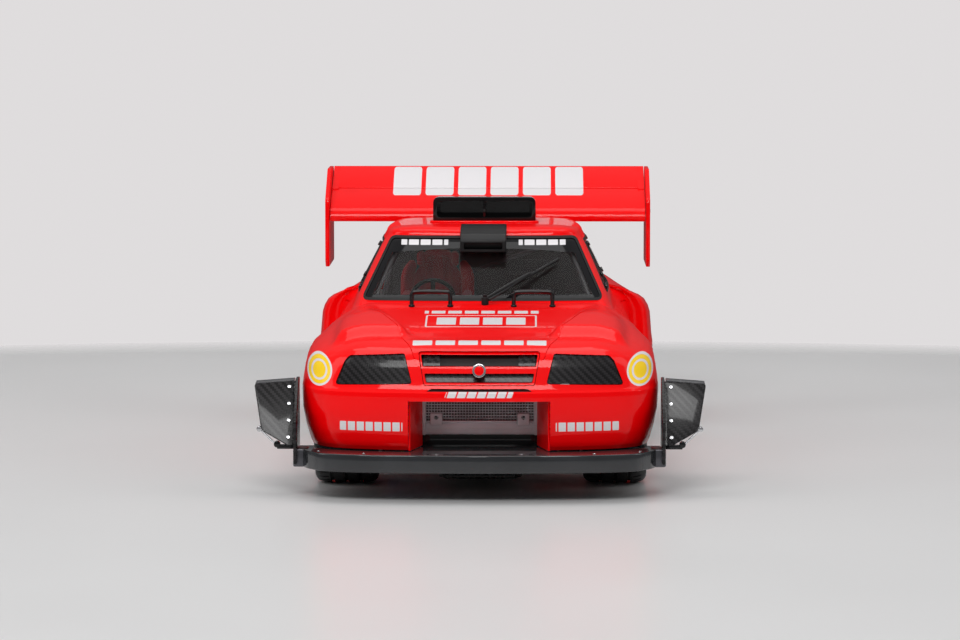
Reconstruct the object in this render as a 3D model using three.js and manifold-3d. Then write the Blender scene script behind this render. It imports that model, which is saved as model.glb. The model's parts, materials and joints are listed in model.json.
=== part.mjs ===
// Radio-controlled drift car, 1:10 class: a lift-off hill-climb body over a rear-drive chassis.
// Millimetres, +Z up, nose towards -Y, origin on the ground below the middle of the car.
import * as THREE from "three";
import { mergeVertices } from "three/addons/utils/BufferGeometryUtils.js";
import Module from "manifold-3d";

// Overall sizes
const wheelbase = 257;
const frontAxleY = -140;
const rearAxleY = frontAxleY + wheelbase;
const noseY = -222;
const tailY = rearAxleY + 91;
const splitterNoseY = -235;
const wingTailY = rearAxleY + 118;

// Running gear
const tyreRadius = 32.5;
const tyreWidth = 34;
const rimRadius = 25;
const tyreSides = 32;
const rimSides = 28;
const frontTrackHalf = 72;
const rearTrackHalf = 77;
const axleZ = tyreRadius;
const axleRadius = 2.5;
const kingpinX = 60;
const armPivotX = 22;
const armPivotZ = 15;
const armThick = 5;
const uprightTopZ = 51;
const lugBottomZ = 47.4;
const kingpinRadius = 1.4;
const steeringArmZ = [27, 30];
const steeringArmReach = 21;
const tieRodZ = 28.5;
const tieRodHalf = 48.5;
const damperTopZ = 62;
const frontDamperOffset = 1;
const rearDamperOffset = 9.5;
const frontTowerOffset = 7.5;
const rearTowerOffset = 17.5;
const frontTowerPostZ = 78;
const rearTowerPostZ = 88;

// Body shell
const wall = 2;
const sillZ = 26;
const frontHalfWidth = 95.6;
const doorHalfWidth = 86;
const rearHalfWidth = 99.4;
const archRadius = 40;
const cabinBaseZ = 88;
const roofZ = 131;

// Fits
const gap = 0.3;
const pivotClearance = 0.6;

// Nose openings
const ductHalfWidth = 37;
const ductRearHalfWidth = 31;
const ductTopZ = 52;
const ductRearY = -190;
const grilleHalfWidth = 31;

// Splitter, fences and dive plates
const splitterTopZ = 25.2;
const splitterLipHeight = 9.4;
const splitterPlate = 4;
const splitterRearY = -187;
const fenceX = Math.max(frontHalfWidth, frontTrackHalf + tyreWidth / 2 + 6.6) + 0.4;
const fenceThick = 1.6;
const fenceRearY = -172;
const divePlateReach = 22;
const divePlateThick = 1.6;

// Wing
const wingHalfSpan = 96.4;
const endPlateThick = 2.4;
const endPlateBottomZ = 92.7;
const wingTopZ = 151.6;

// Chassis
const plateZ = 6;
const plateThick = 2.5;
const deckZ = plateZ + plateThick + gap;
const gearboxHalfWidth = 12;
const spurRadius = 20;
const pinionRadius = 6;
const layshaftY = rearAxleY - 29;
const layshaftZ = 38;
const motorRadius = 18;
const motorHalfLength = 26.5;
const motorZ = deckZ + motorRadius + 0.7;
const gearFaceX = 31.6;
const gearWidth = 3.8;
const wheelCentre = [-28, -50, 92.6];
const columnRake = -1.05;
const gearCentres = spurRadius + pinionRadius + gap;
const motorY = layshaftY - Math.sqrt(gearCentres ** 2 - (layshaftZ - motorZ) ** 2);
const batteryRearY = Math.min(19, motorY - motorRadius - 2);
const controllerRearY = Math.min(8, batteryRearY);

const wasm = await Module();
wasm.setup();

// ---------- solids ----------

function facingOut(geometry) {
  const p = geometry.attributes.position;
  const index = geometry.index.array;
  const corner = [0, 1, 2].map(() => new THREE.Vector3());
  let volume = 0;
  for (let i = 0; i < index.length; i += 3) {
    corner.forEach((c, k) => c.fromBufferAttribute(p, index[i + k]));
    volume += corner[0].dot(corner[1].clone().cross(corner[2]));
  }
  if (volume < 0) {
    for (let i = 0; i < index.length; i += 3) {
      [index[i], index[i + 1]] = [index[i + 1], index[i]];
    }
  }
  return geometry;
}

function solid(geometry) {
  geometry.deleteAttribute("normal");
  geometry.deleteAttribute("uv");
  const merged = facingOut(mergeVertices(geometry, 1e-4));
  const vertProperties = Float32Array.from(merged.attributes.position.array);
  const triVerts = Uint32Array.from(merged.index.array);
  return new wasm.Manifold(new wasm.Mesh({ numProp: 3, vertProperties, triVerts }));
}

function geometryOf(body) {
  const mesh = body.getMesh();
  const geometry = new THREE.BufferGeometry();
  geometry.setAttribute("position", new THREE.BufferAttribute(mesh.vertProperties, 3));
  geometry.setIndex(new THREE.BufferAttribute(mesh.triVerts, 1));
  geometry.computeVertexNormals();
  return geometry;
}

const joined = (...bodies) => bodies.reduce((whole, next) => whole.add(next));

function extruded(outline, depth) {
  const shape = new THREE.Shape(outline.map(([a, b]) => new THREE.Vector2(a, b)));
  return new THREE.ExtrudeGeometry(shape, { depth, bevelEnabled: false });
}

// Prisms along each axis; the outline is given in the other two axes, in X, Y, Z order.
function prismX(outline, x0, x1) {
  const turn = new THREE.Matrix4().makeBasis(
    new THREE.Vector3(0, 1, 0), new THREE.Vector3(0, 0, 1), new THREE.Vector3(1, 0, 0));
  return solid(extruded(outline, x1 - x0).applyMatrix4(turn).translate(x0, 0, 0));
}

function prismY(outline, y0, y1) {
  return solid(extruded(outline, y1 - y0).rotateX(Math.PI / 2).translate(0, y1, 0));
}

function prismZ(outline, z0, z1) {
  return solid(extruded(outline, z1 - z0).translate(0, 0, z0));
}

function box(x0, x1, y0, y1, z0, z1) {
  const geometry = new THREE.BoxGeometry(x1 - x0, y1 - y0, z1 - z0);
  return solid(geometry.translate((x0 + x1) / 2, (y0 + y1) / 2, (z0 + z1) / 2));
}

function rod(from, to, radius, sides = 12) {
  const a = new THREE.Vector3(...from);
  const b = new THREE.Vector3(...to);
  const along = b.clone().sub(a);
  const geometry = new THREE.CylinderGeometry(radius, radius, along.length(), sides);
  const turn = new THREE.Quaternion().setFromUnitVectors(
    new THREE.Vector3(0, 1, 0), along.clone().normalize());
  return solid(geometry.applyQuaternion(turn).translate(...a.add(b).multiplyScalar(0.5).toArray()));
}

// A profile of [radius, x] pairs spun about the X axis; it closes on itself or on the axis.
function spunX(profile, sides) {
  const points = profile.map(([r, x]) => new THREE.Vector2(r / Math.cos(Math.PI / sides), x));
  const geometry = new THREE.LatheGeometry(points, sides, Math.PI / sides);
  return solid(geometry.rotateZ(-Math.PI / 2));
}

// Rings with equally many points, stacked and closed by a fan at each end.
function loft(rings) {
  const count = rings[0].length;
  const points = rings.flat();
  const middle = (ring) => ring.reduce((sum, p) => sum.map((v, i) => v + p[i] / count), [0, 0, 0]);
  const first = points.length;
  points.push(middle(rings[0]), middle(rings.at(-1)));
  const index = [];
  for (let k = 0; k < rings.length - 1; k++) {
    for (let i = 0; i < count; i++) {
      const a = k * count + i;
      const b = k * count + ((i + 1) % count);
      index.push(a, b, b + count, a, b + count, a + count);
    }
  }
  const last = (rings.length - 1) * count;
  for (let i = 0; i < count; i++) {
    const next = (i + 1) % count;
    index.push(first, next, i);
    index.push(first + 1, last + i, last + next);
  }
  const geometry = new THREE.BufferGeometry();
  geometry.setAttribute("position", new THREE.BufferAttribute(Float32Array.from(points.flat()), 3));
  geometry.setIndex(index);
  return solid(geometry);
}

const mirrored = (outline) => [...outline, ...outline.slice().reverse().map(([x, y]) => [-x, y])];
const sided = (side, x0, x1) => (side > 0 ? [x0, x1] : [-x1, -x0]);

// ---------- body surfaces ----------

// A closed plan outline through half-outline points that start and end on the centre line.
function planOutline(half, steps) {
  const curve = new THREE.SplineCurve(half.map(([x, y]) => new THREE.Vector2(x, y)));
  const right = curve.getPoints(steps).map((p) => [p.x, p.y]);
  right[0][0] = 0;
  right[steps][0] = 0;
  const left = right.slice(1, -1).reverse().map(([x, y]) => [-x, y]);
  return [...right, ...left];
}

const hullMiddleY = (noseY + tailY) / 2;
const hullOutline = planOutline([
  [0, noseY], [38, noseY + 2], [70, noseY + 9], [86, noseY + 20], [93, noseY + 38],
  [frontHalfWidth, frontAxleY - 20], [frontHalfWidth, frontAxleY + 12], [91, frontAxleY + 45],
  [doorHalfWidth, frontAxleY + 75], [doorHalfWidth, -10], [doorHalfWidth, rearAxleY - 58],
  [rearHalfWidth - 3, rearAxleY - 50], [rearHalfWidth, rearAxleY - 10], [rearHalfWidth, rearAxleY + 35],
  [96, tailY - 22], [86, tailY - 6], [50, tailY - 1], [0, tailY],
], 34);

// Height of the deck along the car: bonnet rising to the cowl, then a level rear deck.
function deckHeight(y) {
  const rise = THREE.MathUtils.clamp((y - noseY) / 130, 0, 1);
  return 78 + 14.5 * rise ** 0.9;
}

function hullRing(inset, height) {
  const acrossScale = 1 - inset / frontHalfWidth;
  const alongScale = 1 - inset / ((tailY - noseY) / 2);
  return hullOutline.map(([x, y]) => {
    const along = hullMiddleY + (y - hullMiddleY) * alongScale;
    return [x * acrossScale, along, height(along)];
  });
}

// The hull as rings that climb the side, turn over the shoulder and close on the deck.
function hull(inset, bottomZ) {
  const top = (drop) => (y) => deckHeight(y) - drop - inset;
  const steps = [
    [4, () => bottomZ], [0, () => 46], [3.5, top(17)], [7, top(9)], [12, top(4)], [20, top(1)], [34, top(0)],
  ];
  return loft(steps.map(([ringInset, height]) => hullRing(ringInset + inset, height)));
}

const cabinBase = planOutline([
  [0, -96], [40, -94.5], [64, -90], [71, -82], [73, -55], [74, 10], [71, 80], [66, 118], [40, 128], [0, 130],
], 18);
const cabinRoof = planOutline([
  [0, -30], [34, -29], [48, -26], [53, -19], [55, -5], [56, 20], [54, 48], [50, 62], [34, 69], [0, 70],
], 18);

function cabinRing(fraction, inset, z) {
  return cabinBase.map(([x, y], i) => {
    const [roofX, roofY] = cabinRoof[i];
    const ringX = x + (roofX - x) * fraction;
    const ringY = y + (roofY - y) * fraction;
    const reach = Math.hypot(ringX, ringY - 10);
    const scale = 1 - inset / reach;
    return [ringX * scale, 10 + (ringY - 10) * scale, z];
  });
}

// The greenhouse: four sloping sides from the belt line to a softly crowned roof.
function cabin(inset, bottomZ = cabinBaseZ) {
  const eaveZ = roofZ - 8;
  const slope = 1 / (eaveZ - cabinBaseZ);
  return loft([
    cabinRing((bottomZ - cabinBaseZ) * slope, inset, bottomZ),
    cabinRing(1, inset, eaveZ),
    cabinRing(1, inset + 3, roofZ - 3.4 - inset),
    cabinRing(1, inset + 10, roofZ - 0.8 - inset),
    cabinRing(1, inset + 24, roofZ - inset),
  ]);
}

// ---------- openings in the body ----------

// A convex outline with every edge moved inwards by the fit gap.
function shrunk(outline) {
  const area = THREE.ShapeUtils.area(outline.map(([a, b]) => new THREE.Vector2(a, b)));
  const turn = Math.sign(area);
  return outline.map((point, i) => {
    const before = outline.at(i - 1);
    const after = outline[(i + 1) % outline.length];
    const unit = (from, to) => {
      const length = Math.hypot(to[0] - from[0], to[1] - from[1]);
      return [(to[0] - from[0]) / length, (to[1] - from[1]) / length];
    };
    const [ax, ay] = unit(before, point);
    const [bx, by] = unit(point, after);
    const sine = ax * by - ay * bx;
    const along = (gap * turn) / sine;
    return [point[0] + (bx - ax) * along, point[1] + (by - ay) * along];
  });
}

const windscreenOutline = mirrored([[63, 95], [46, 120.5]]);
const sideWindowOutline = [[-58, 97], [60, 97], [50, 120], [-12, 120]];
const rearWindowOutline = mirrored([[54, 101], [42, 119]]);
const lampOutline = [[36, 60.5], [76, 59.5], [69, 73.5], [41, 75.5]];
const grilleOutline = mirrored([[grilleHalfWidth - 3, 60.5], [grilleHalfWidth, 76]]);

const frontPrism = (outline) => prismY(outline, noseY - 20, -12);
const nosePrism = (outline) => prismY(outline, noseY - 5, noseY + 40);
const rearPrism = (outline) => prismY(outline, 74, 150);
const sidePrism = (outline, side) => prismX(outline, ...sided(side, 45, 100));
const flipped = (outline) => outline.map(([x, z]) => [-x, z]);

// A pane follows the surface that it closes, with a gap all round.
const cabinPane = (prism) => cabin(0.3).subtract(cabin(wall)).intersect(prism);
const nosePane = (prism, front, back) => hull(front, sillZ).subtract(hull(back, sillZ - 1)).intersect(prism);

function ductBlock(growth, frontY) {
  const rect = (half, topZ, y) => [
    [-half - growth, y, sillZ - 4 - growth], [half + growth, y, sillZ - 4 - growth],
    [half + growth, y, topZ + growth], [-half - growth, y, topZ + growth],
  ];
  return loft([rect(ductHalfWidth, ductTopZ, frontY), rect(ductRearHalfWidth, ductTopZ - 2, ductRearY)]);
}

function archCut(axleY) {
  return [1, -1].map((side) => {
    const [x0, x1] = sided(side, 48, 110);
    const circle = rod([x0, axleY, axleZ], [x1, axleY, axleZ], archRadius, 28);
    return circle.add(box(x0, x1, axleY - archRadius, axleY + archRadius, 0, axleZ));
  });
}

function bodyShell() {
  const outer = hull(0, sillZ).add(cabin(0));
  const inner = hull(wall, sillZ - 1).add(cabin(wall, cabinBaseZ - 6));
  const skin = outer.subtract(inner);
  const ductWalls = ductBlock(wall, noseY + 4).intersect(hull(wall / 2, sillZ));
  const cuts = [
    ductBlock(0, noseY - 10),
    box(-ductRearHalfWidth, ductRearHalfWidth, ductRearY - 1, ductRearY + 30, 20, ductTopZ - 2),
    frontPrism(windscreenOutline),
    sidePrism(sideWindowOutline, 1),
    sidePrism(sideWindowOutline, -1),
    rearPrism(rearWindowOutline),
    nosePrism(lampOutline),
    nosePrism(flipped(lampOutline)),
    nosePrism(grilleOutline),
    ...archCut(frontAxleY),
    ...archCut(rearAxleY),
  ];
  return cuts.reduce((shell, cut) => shell.subtract(cut), skin.add(ductWalls));
}

function grille() {
  const slat = (halfWidth, z0, z1) => nosePrism(mirrored([[halfWidth, z0], [halfWidth + 1, z1]]));
  return nosePane(nosePrism(shrunk(grilleOutline)), 0.4, 3.4)
    .subtract(slat(26, 69.5, 74.5))
    .subtract(slat(25, 62, 66));
}

function roofScoop() {
  const section = (half, topZ, y) => [
    [-half, y, roofZ - 4], [half, y, roofZ - 4], [half, y, topZ - 3],
    [half - 3, y, topZ], [-half + 3, y, topZ], [-half, y, topZ - 3],
  ];
  const mouth = box(-27.4, 27.4, 0, 30, roofZ + 2.4, roofZ + 12.4).subtract(box(-0.8, 0.8, 0, 40, 120, 160));
  return loft([section(29.6, roofZ + 14.6, 6), section(29, roofZ + 13.5, 28), section(24, roofZ + 3, 64)])
    .subtract(mouth)
    .subtract(cabin(-gap));
}

function screenPod() {
  const side = [[-52, 117.5], [-46, 122.5], [-32, 130.5], [-12, 134], [-12, 125], [-30, 117.5]];
  return prismX(side, -13, 13).subtract(cabin(-gap));
}

function bonnetHoop(x) {
  const y = -98;
  const bottomZ = deckHeight(y) - 1.2;
  const arch = (half, lowZ, topZ, chamfer) => [
    [x - half, lowZ], [x + half, lowZ], [x + half, topZ - chamfer],
    [x + half - chamfer, topZ], [x - half + chamfer, topZ], [x - half, topZ - chamfer],
  ];
  return prismY(arch(11, bottomZ, 100, 2.2), y - 1.2, y + 1.2)
    .subtract(prismY(arch(9.4, bottomZ + 2.6, 98.4, 1.4), y - 2, y + 2))
    .subtract(hull(-gap, sillZ));
}

function wiper() {
  const pivot = [2, -94.5, 93];
  const elbow = [17, -77, 104];
  const tip = [42, -52, 114.5];
  const spindle = rod([pivot[0], pivot[1], 88], [pivot[0], pivot[1], 96.4], 2, 10);
  return joined(spindle, rod(pivot, elbow, 0.9, 8), rod(elbow, tip, 0.9, 8))
    .subtract(cabin(-gap))
    .subtract(hull(-gap, sillZ));
}

// ---------- front aero ----------

const splitterHalf = [
  [0, splitterNoseY], [48, splitterNoseY + 3.5], [80, splitterNoseY + 14], [fenceX - gap, -206],
];

function splitter() {
  const curve = new THREE.SplineCurve(splitterHalf.map(([x, y]) => new THREE.Vector2(x, y)));
  const front = curve.getPoints(9).map((p) => [p.x, p.y]);
  const whole = [...front, [fenceX - gap, splitterRearY]];
  const outline = [...whole, ...whole.slice(1).reverse().map(([x, y]) => [-x, y])];
  const lipZ = splitterTopZ - splitterLipHeight;
  const full = prismZ(outline, lipZ, splitterTopZ);
  const back = outline.map(([x, y]) => [x * 0.93, y + 7]);
  return full
    .subtract(prismZ(back, lipZ - 1, splitterTopZ - splitterPlate))
    .subtract(prismZ(back, splitterTopZ - 1.2, splitterTopZ + 1));
}

function fence(side) {
  const outline = [[-209, 17], [fenceRearY, 17], [fenceRearY, 60.5], [-186, 60.5], [-209, 40]];
  return prismX(outline, ...sided(side, fenceX, fenceX + fenceThick));
}

// A dive plate: a raked plate outside the fence with a folded lip along its top.
function divePlate(side) {
  const inner = fenceX + fenceThick + gap;
  const outline = [[inner, 23], [inner + 19, 34], [inner + divePlateReach, 59], [inner, 59.5]]
    .map(([x, z]) => [side * x, z]);
  const rake = (z, shift) => -178 - (60 - z) * 0.5 + shift;
  const sideView = [[rake(20, 0), 20], [rake(20, divePlateThick), 20], [rake(58, divePlateThick), 58],
    [rake(60, 6), 58.2], [rake(60, 6), 59.6], [rake(60, 0), 59.6]];
  return prismY(outline, -215, -165).intersect(prismX(sideView, ...sided(side, 90, 130)));
}

function intercooler() {
  const half = ductRearHalfWidth - gap;
  const y = ductRearY + 1;
  const core = box(-half + 3, half - 3, y + 1, y + 12, 38, ductTopZ - 2.6);
  const tank = box(-half, half, y, y + 13, 30.5, 38);
  return core.add(tank);
}

// ---------- wing ----------

const wingFront = [wingTailY - 60, 124];
const wingJoint = [wingTailY - 30, 138];

function wingMain() {
  const [y0, z0] = wingFront;
  const [y1, z1] = wingJoint;
  const nose = Array.from({ length: 7 }, (_, i) => {
    const angle = Math.PI * (0.62 + (i * 0.95) / 6);
    return [y0 + 4.2 + 4.4 * Math.cos(angle), z0 + 4.4 * Math.sin(angle)];
  });
  return prismX([...nose, [y1, z1 - 1.6], [y1, z1 + 1]], -wingHalfSpan, wingHalfSpan);
}

function wingFlap() {
  const [y0, z0] = wingJoint;
  const root = [[y0 + gap, z0 - 2.2], [y0 + gap, z0 + 1.6]];
  const outline = [...root, [wingTailY - 1.6, wingTopZ], [wingTailY, wingTopZ - 1.2]];
  return prismX(outline, -wingHalfSpan, wingHalfSpan);
}

function endPlate(side) {
  const outline = [[wingTailY - 66, 96], [wingTailY - 62, endPlateBottomZ], [wingTailY, endPlateBottomZ],
    [wingTailY, wingTopZ], [wingTailY - 34, wingTopZ], [wingTailY - 66, 134]];
  const inner = wingHalfSpan + gap;
  return prismX(outline, ...sided(side, inner, inner + endPlateThick));
}

// Two raked pylons on one foot bar, standing on the rear deck.
function wingStand() {
  const foot = deckHeight(tailY) + gap;
  const pylon = [[168, foot], [200, foot], [204, 134.5], [184, 126]];
  const bar = box(-48, 48, 178, 192, foot, foot + 2.4);
  return joined(bar, prismX(pylon, 44, 46.4), prismX(pylon, -46.4, -44))
    .subtract(prismX(wingUnderside(), -60, 60));
}

function wingUnderside() {
  const [y0, z0] = wingFront;
  const [y1, z1] = wingJoint;
  return [[y0 - 4, z0 - 4.9], [y0 + 6, z0 - 4.9], [y1 + 1, z1 - 1.6 - gap], [y1 + 1, 160], [y0 - 4, 160]];
}

// ---------- cockpit ----------

const trayZ = 78;

function cockpitTray() {
  const floor = [[-66, -80], [66, -80], [66, 58], [-66, 58]];
  const bulkhead = mirrored([[62, trayZ], [49, 118]]);
  const dash = [[-80, trayZ], [-62, trayZ], [-62, 88], [-66, 91], [-80, 91]];
  return joined(
    prismZ(floor, trayZ, trayZ + 2),
    prismY(bulkhead, 50, 52),
    prismX(dash, -62, 62),
  );
}

function bucketSeat() {
  const x = -27;
  const z = trayZ + 2 + gap;
  const base = prismY([[x - 19, z], [x + 19, z], [x + 21, z + 11], [x + 16, z + 11], [x + 14, z + 5],
    [x - 14, z + 5], [x - 16, z + 11], [x - 21, z + 11]], -14, 24);
  const back = prismY([[x - 17, z], [x + 17, z], [x + 21, z + 14], [x + 12, z + 30], [x + 9, z + 35],
    [x - 9, z + 35], [x - 12, z + 30], [x - 21, z + 14]], 24, 31);
  return base.add(back);
}

function cockpitWheel() {
  const ring = new THREE.TorusGeometry(11.5, 1.3, 8, 24);
  const column = rod([0, 0, 0], [0, 0, -12], 1.4, 8);
  const boss = box(-11, 11, -1.6, 1.6, -1, 0.6);
  return joined(solid(ring), column, boss);
}

// ---------- wheels ----------

function tyre() {
  const half = tyreWidth / 2;
  const bead = rimRadius + gap;
  return spunX([
    [bead, -half], [tyreRadius - 2.6, -half], [tyreRadius, -half + 3.4],
    [tyreRadius, half - 3.4], [tyreRadius - 2.6, half], [bead, half], [bead, -half],
  ], tyreSides);
}

function rim() {
  const half = tyreWidth / 2;
  const barrel = spunX([
    [rimRadius - 1.6, -half + 1], [rimRadius, -half + 1], [rimRadius, half - 0.6], [rimRadius - 1.6, half - 0.6],
    [rimRadius - 1.6, -half + 1],
  ], rimSides);
  const face = half - 6;
  const hub = rod([-3, 0, 0], [face + 1, 0, 0], 7, 16);
  const spokes = Array.from({ length: 5 }, (_, i) => {
    const spoke = new THREE.BoxGeometry(3.4, 5, rimRadius - 6.5).translate(face - 1.2, 0, (rimRadius + 5) / 2);
    return solid(spoke.rotateX((i * 2 * Math.PI) / 5));
  });
  const bore = rod([-5, 0, 0], [face - 2, 0, 0], axleRadius + gap, 12);
  return joined(barrel, hub, ...spokes).subtract(bore);
}

// ---------- suspension and steering ----------

// A lower arm with its hub carrier, drawn for the +X side about the axle line.
function lowerArmOutline(innerHalf, outerHalf, tipX) {
  return [[armPivotX + 1, -innerHalf], [50, -outerHalf], [tipX, -outerHalf], [tipX, outerHalf],
    [50, outerHalf], [armPivotX + 1, innerHalf]];
}

function frontArm() {
  const z0 = armPivotZ - armThick / 2;
  const spine = box(48.5, 52, -3.4, 3.4, z0, uprightTopZ);
  const upperLug = box(48.5, 64, -4.4, 4.4, lugBottomZ, uprightTopZ);
  const kingpinHole = rod([kingpinX, 0, z0 - 1], [kingpinX, 0, uprightTopZ + 9], kingpinRadius + 0.4, 10);
  return joined(prismZ(lowerArmOutline(13, 4.4, 64), z0, z0 + armThick), spine, upperLug).subtract(kingpinHole);
}

function rearArm() {
  const z0 = armPivotZ - armThick / 2;
  const carrier = box(52, 58, -8, 8, z0, 46);
  const bearing = rod([50, 0, axleZ], [60, 0, axleZ], axleRadius + 1, 14);
  return joined(prismZ(lowerArmOutline(15, 10, 58), z0, z0 + armThick), carrier).subtract(bearing);
}

function knuckle(side) {
  const lowZ = armPivotZ + armThick / 2 + pivotClearance;
  const [x0, x1] = sided(side, 57, 63.5);
  const block = box(x0, x1, -6, 6, lowZ, lugBottomZ - pivotClearance);
  const pin = rod([side * kingpinX, 0, armPivotZ - 1.5], [side * kingpinX, 0, uprightTopZ - 1], kingpinRadius, 10);
  const stub = rod([side * 63, 0, axleZ], [side * (frontTrackHalf + 7), 0, axleZ], axleRadius, 12);
  const armOutline = [[57.5, 2], [61, 4], [55.5, steeringArmReach], [51.5, steeringArmReach], [51.5, 17]];
  const steeringArm = prismZ(armOutline.map(([x, y]) => [side * x, y]), ...steeringArmZ);
  return joined(block, pin, stub, steeringArm);
}

function damper() {
  const top = [37, 0, damperTopZ];
  const bottom = [43, 0, armPivotZ + armThick / 2 + gap + 2.4];
  const part = (t) => top.map((v, i) => v + (bottom[i] - v) * t);
  const eye = rod(part(0), part(0.14), 2.4, 10);
  const coil = rod(part(0.08), part(0.85), 5.4, 14);
  return joined(eye, coil, rod(part(0.8), bottom, 2.2, 10));
}

// A shock tower plate with a foot, and a post at each side for the hidden body magnets.
function tower(postTopZ) {
  const plate = mirrored([[16, deckZ], [18, 40], [42, 60], [42, 66]]);
  const foot = box(-16, 16, 0, 9, deckZ, deckZ + 4);
  const post = (side) => rod([side * 30, 1.5, 50], [side * 30, 1.5, postTopZ], 3, 12);
  return joined(prismY(plate, 0, 3), foot, post(1), post(-1));
}

// ---------- chassis pieces ----------

function chassisPlate() {
  const half = [
    [18, -176], [22, -166], [20, frontAxleY + 22], [44, frontAxleY + 54], [54, frontAxleY + 60],
    [54, rearAxleY - 62], [36, rearAxleY - 50], [20, rearAxleY - 22], [20, rearAxleY + 34],
  ];
  return prismZ(mirrored(half), plateZ, plateZ + plateThick);
}

function gearbox() {
  const side = [[layshaftY - 5, deckZ], [rearAxleY + 17, deckZ], [rearAxleY + 17, 44], [rearAxleY + 6, 52],
    [layshaftY + 4, 52], [layshaftY - 5, 44]];
  const h = gearboxHalfWidth;
  const plateSide = [
    [motorY - 16, deckZ], [layshaftY + 8, deckZ], [layshaftY + 8, 46], [layshaftY - 4, 46], [motorY - 16, 36],
  ];
  const motorPlate = prismX(plateSide, motorHalfLength + gap, motorHalfLength + gap + 2.4);
  const bridge = box(h - 1, motorHalfLength + gap + 1, layshaftY - 3, layshaftY + 8, deckZ, deckZ + 5);
  return joined(prismX(side, -h, h), motorPlate, bridge)
    .subtract(rod([h - 10, layshaftY, layshaftZ], [60, layshaftY, layshaftZ], 3, 14))
    .subtract(rod([0, motorY, motorZ], [60, motorY, motorZ], 5, 14))
    .subtract(rod([-40, rearAxleY, axleZ], [40, rearAxleY, axleZ], axleRadius + 3, 16));
}

function motor() {
  const can = rod([-motorHalfLength, 0, 0], [motorHalfLength, 0, 0], motorRadius, 24);
  const boss = rod([-motorHalfLength - 3, 0, 0], [-motorHalfLength + 1, 0, 0], 6.5, 14);
  const shaftBore = rod([motorHalfLength - 8, 0, 0], [60, 0, 0], 2.2, 10);
  return can.add(boss).subtract(shaftBore);
}

function pinion() {
  const gear = rod([31, 0, 0], [36.5, 0, 0], pinionRadius, 22);
  return gear.add(rod([motorHalfLength - 7, 0, 0], [38, 0, 0], 1.6, 10));
}

function spurGear() {
  const gear = rod([gearFaceX, 0, 0], [gearFaceX + gearWidth, 0, 0], spurRadius, 36);
  const holes = Array.from({ length: 6 }, (_, i) => {
    const angle = (i * Math.PI) / 3;
    const at = [12.5 * Math.cos(angle), 12.5 * Math.sin(angle)];
    return rod([30, ...at], [37, ...at], 3.2, 10);
  });
  const shaft = rod([gearboxHalfWidth - 8, 0, 0], [39, 0, 0], 2.4, 12);
  return holes.reduce((g, hole) => g.subtract(hole), gear).add(shaft);
}

function driveshaft() {
  return joined(
    rod([9, 0, 0], [13, 0, 0], 4, 12),
    rod([12, 0, 0], [rearTrackHalf + 7, 0, 0], axleRadius, 12),
  );
}

const servoY = frontAxleY + 46;
const rackY = frontAxleY + 19;

function servo() {
  return joined(
    box(-20, 20, servoY - 10, servoY + 10, deckZ, 34),
    rod([10, servoY, 33], [10, servoY, 38], 3, 12),
  );
}

// The rack bar carries a tie rod at each end, reaching to the steering arms.
function steeringRack() {
  const bar = box(-26, 26, rackY - 2.5, rackY + 2.5, 24, 33);
  const tie = rod([-tieRodHalf, rackY, tieRodZ], [tieRodHalf, rackY, tieRodZ], 1.5, 10);
  const link = box(-4, 4, rackY + 2, rackY + 6, 26, 32);
  return joined(bar, tie, link);
}

const battery = () => prismX(
  [[-74, deckZ + 3], [-71, deckZ], [batteryRearY - 3, deckZ], [batteryRearY, deckZ + 3],
    [batteryRearY, deckZ + 22], [batteryRearY - 3, deckZ + 25], [-71, deckZ + 25], [-74, deckZ + 22]], -52, -5.5);

const speedController = () => joined(
  box(12, 48, -30, controllerRearY, deckZ, deckZ + 16),
  box(16, 44, -26, controllerRearY - 4, deckZ + 16, deckZ + 21),
);

const receiver = () => box(14, 46, -70, -38, deckZ, deckZ + 14);

// ---------- materials ----------

const finish = (color, roughness, metalness = 0) => new THREE.MeshStandardMaterial({ color, roughness, metalness });
const redPaint = finish(0xe60a0a, 0.12);
const carbon = finish(0x1c1a1d, 0.3);
const blackPlastic = finish(0x17171a, 0.35);
const glass = finish(0x35312f, 0.05);
const aluminium = finish(0xb1b5bb, 0.35, 1);
const steel = finish(0x8f9296, 0.3, 1);
const seatFabric = finish(0x9a1c22, 0.85);
const tyreRubber = finish(0x141414, 0.75);
const rimPlastic = finish(0xd8d8d6, 0.3);
const caseBlue = finish(0x1d3c78, 0.4);
const springSteel = finish(0xc9b33a, 0.35, 1);
const gearNylon = finish(0x2a2a2c, 0.5);

// ---------- assembly ----------

const car = new THREE.Group();
const bodyGroup = new THREE.Group();
const chassisGroup = new THREE.Group();
car.add(bodyGroup, chassisGroup);

function place(group, name, body, material, position = [0, 0, 0], rotation = [0, 0, 0]) {
  const mesh = new THREE.Mesh(geometryOf(body), material);
  mesh.name = name;
  mesh.position.set(...position);
  mesh.rotation.set(...rotation);
  group.add(mesh);
}

const sides = [["right", 1], ["left", -1]];

place(bodyGroup, "body_shell", bodyShell(), redPaint);
place(bodyGroup, "windscreen", cabinPane(frontPrism(shrunk(windscreenOutline))), glass);
place(bodyGroup, "rear_window", cabinPane(rearPrism(shrunk(rearWindowOutline))), glass);
place(bodyGroup, "grille", grille(), redPaint);
place(bodyGroup, "roof_scoop", roofScoop(), blackPlastic);
place(bodyGroup, "screen_pod", screenPod(), blackPlastic);
place(bodyGroup, "wiper", wiper(), blackPlastic);
place(bodyGroup, "front_splitter", splitter(), carbon);
place(bodyGroup, "intercooler", intercooler(), aluminium);
place(bodyGroup, "wing_main", wingMain(), redPaint);
place(bodyGroup, "wing_flap", wingFlap(), redPaint);
place(bodyGroup, "wing_stand", wingStand(), carbon);
place(bodyGroup, "cockpit_tray", cockpitTray(), blackPlastic);
place(bodyGroup, "bucket_seat", bucketSeat(), seatFabric);
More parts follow.
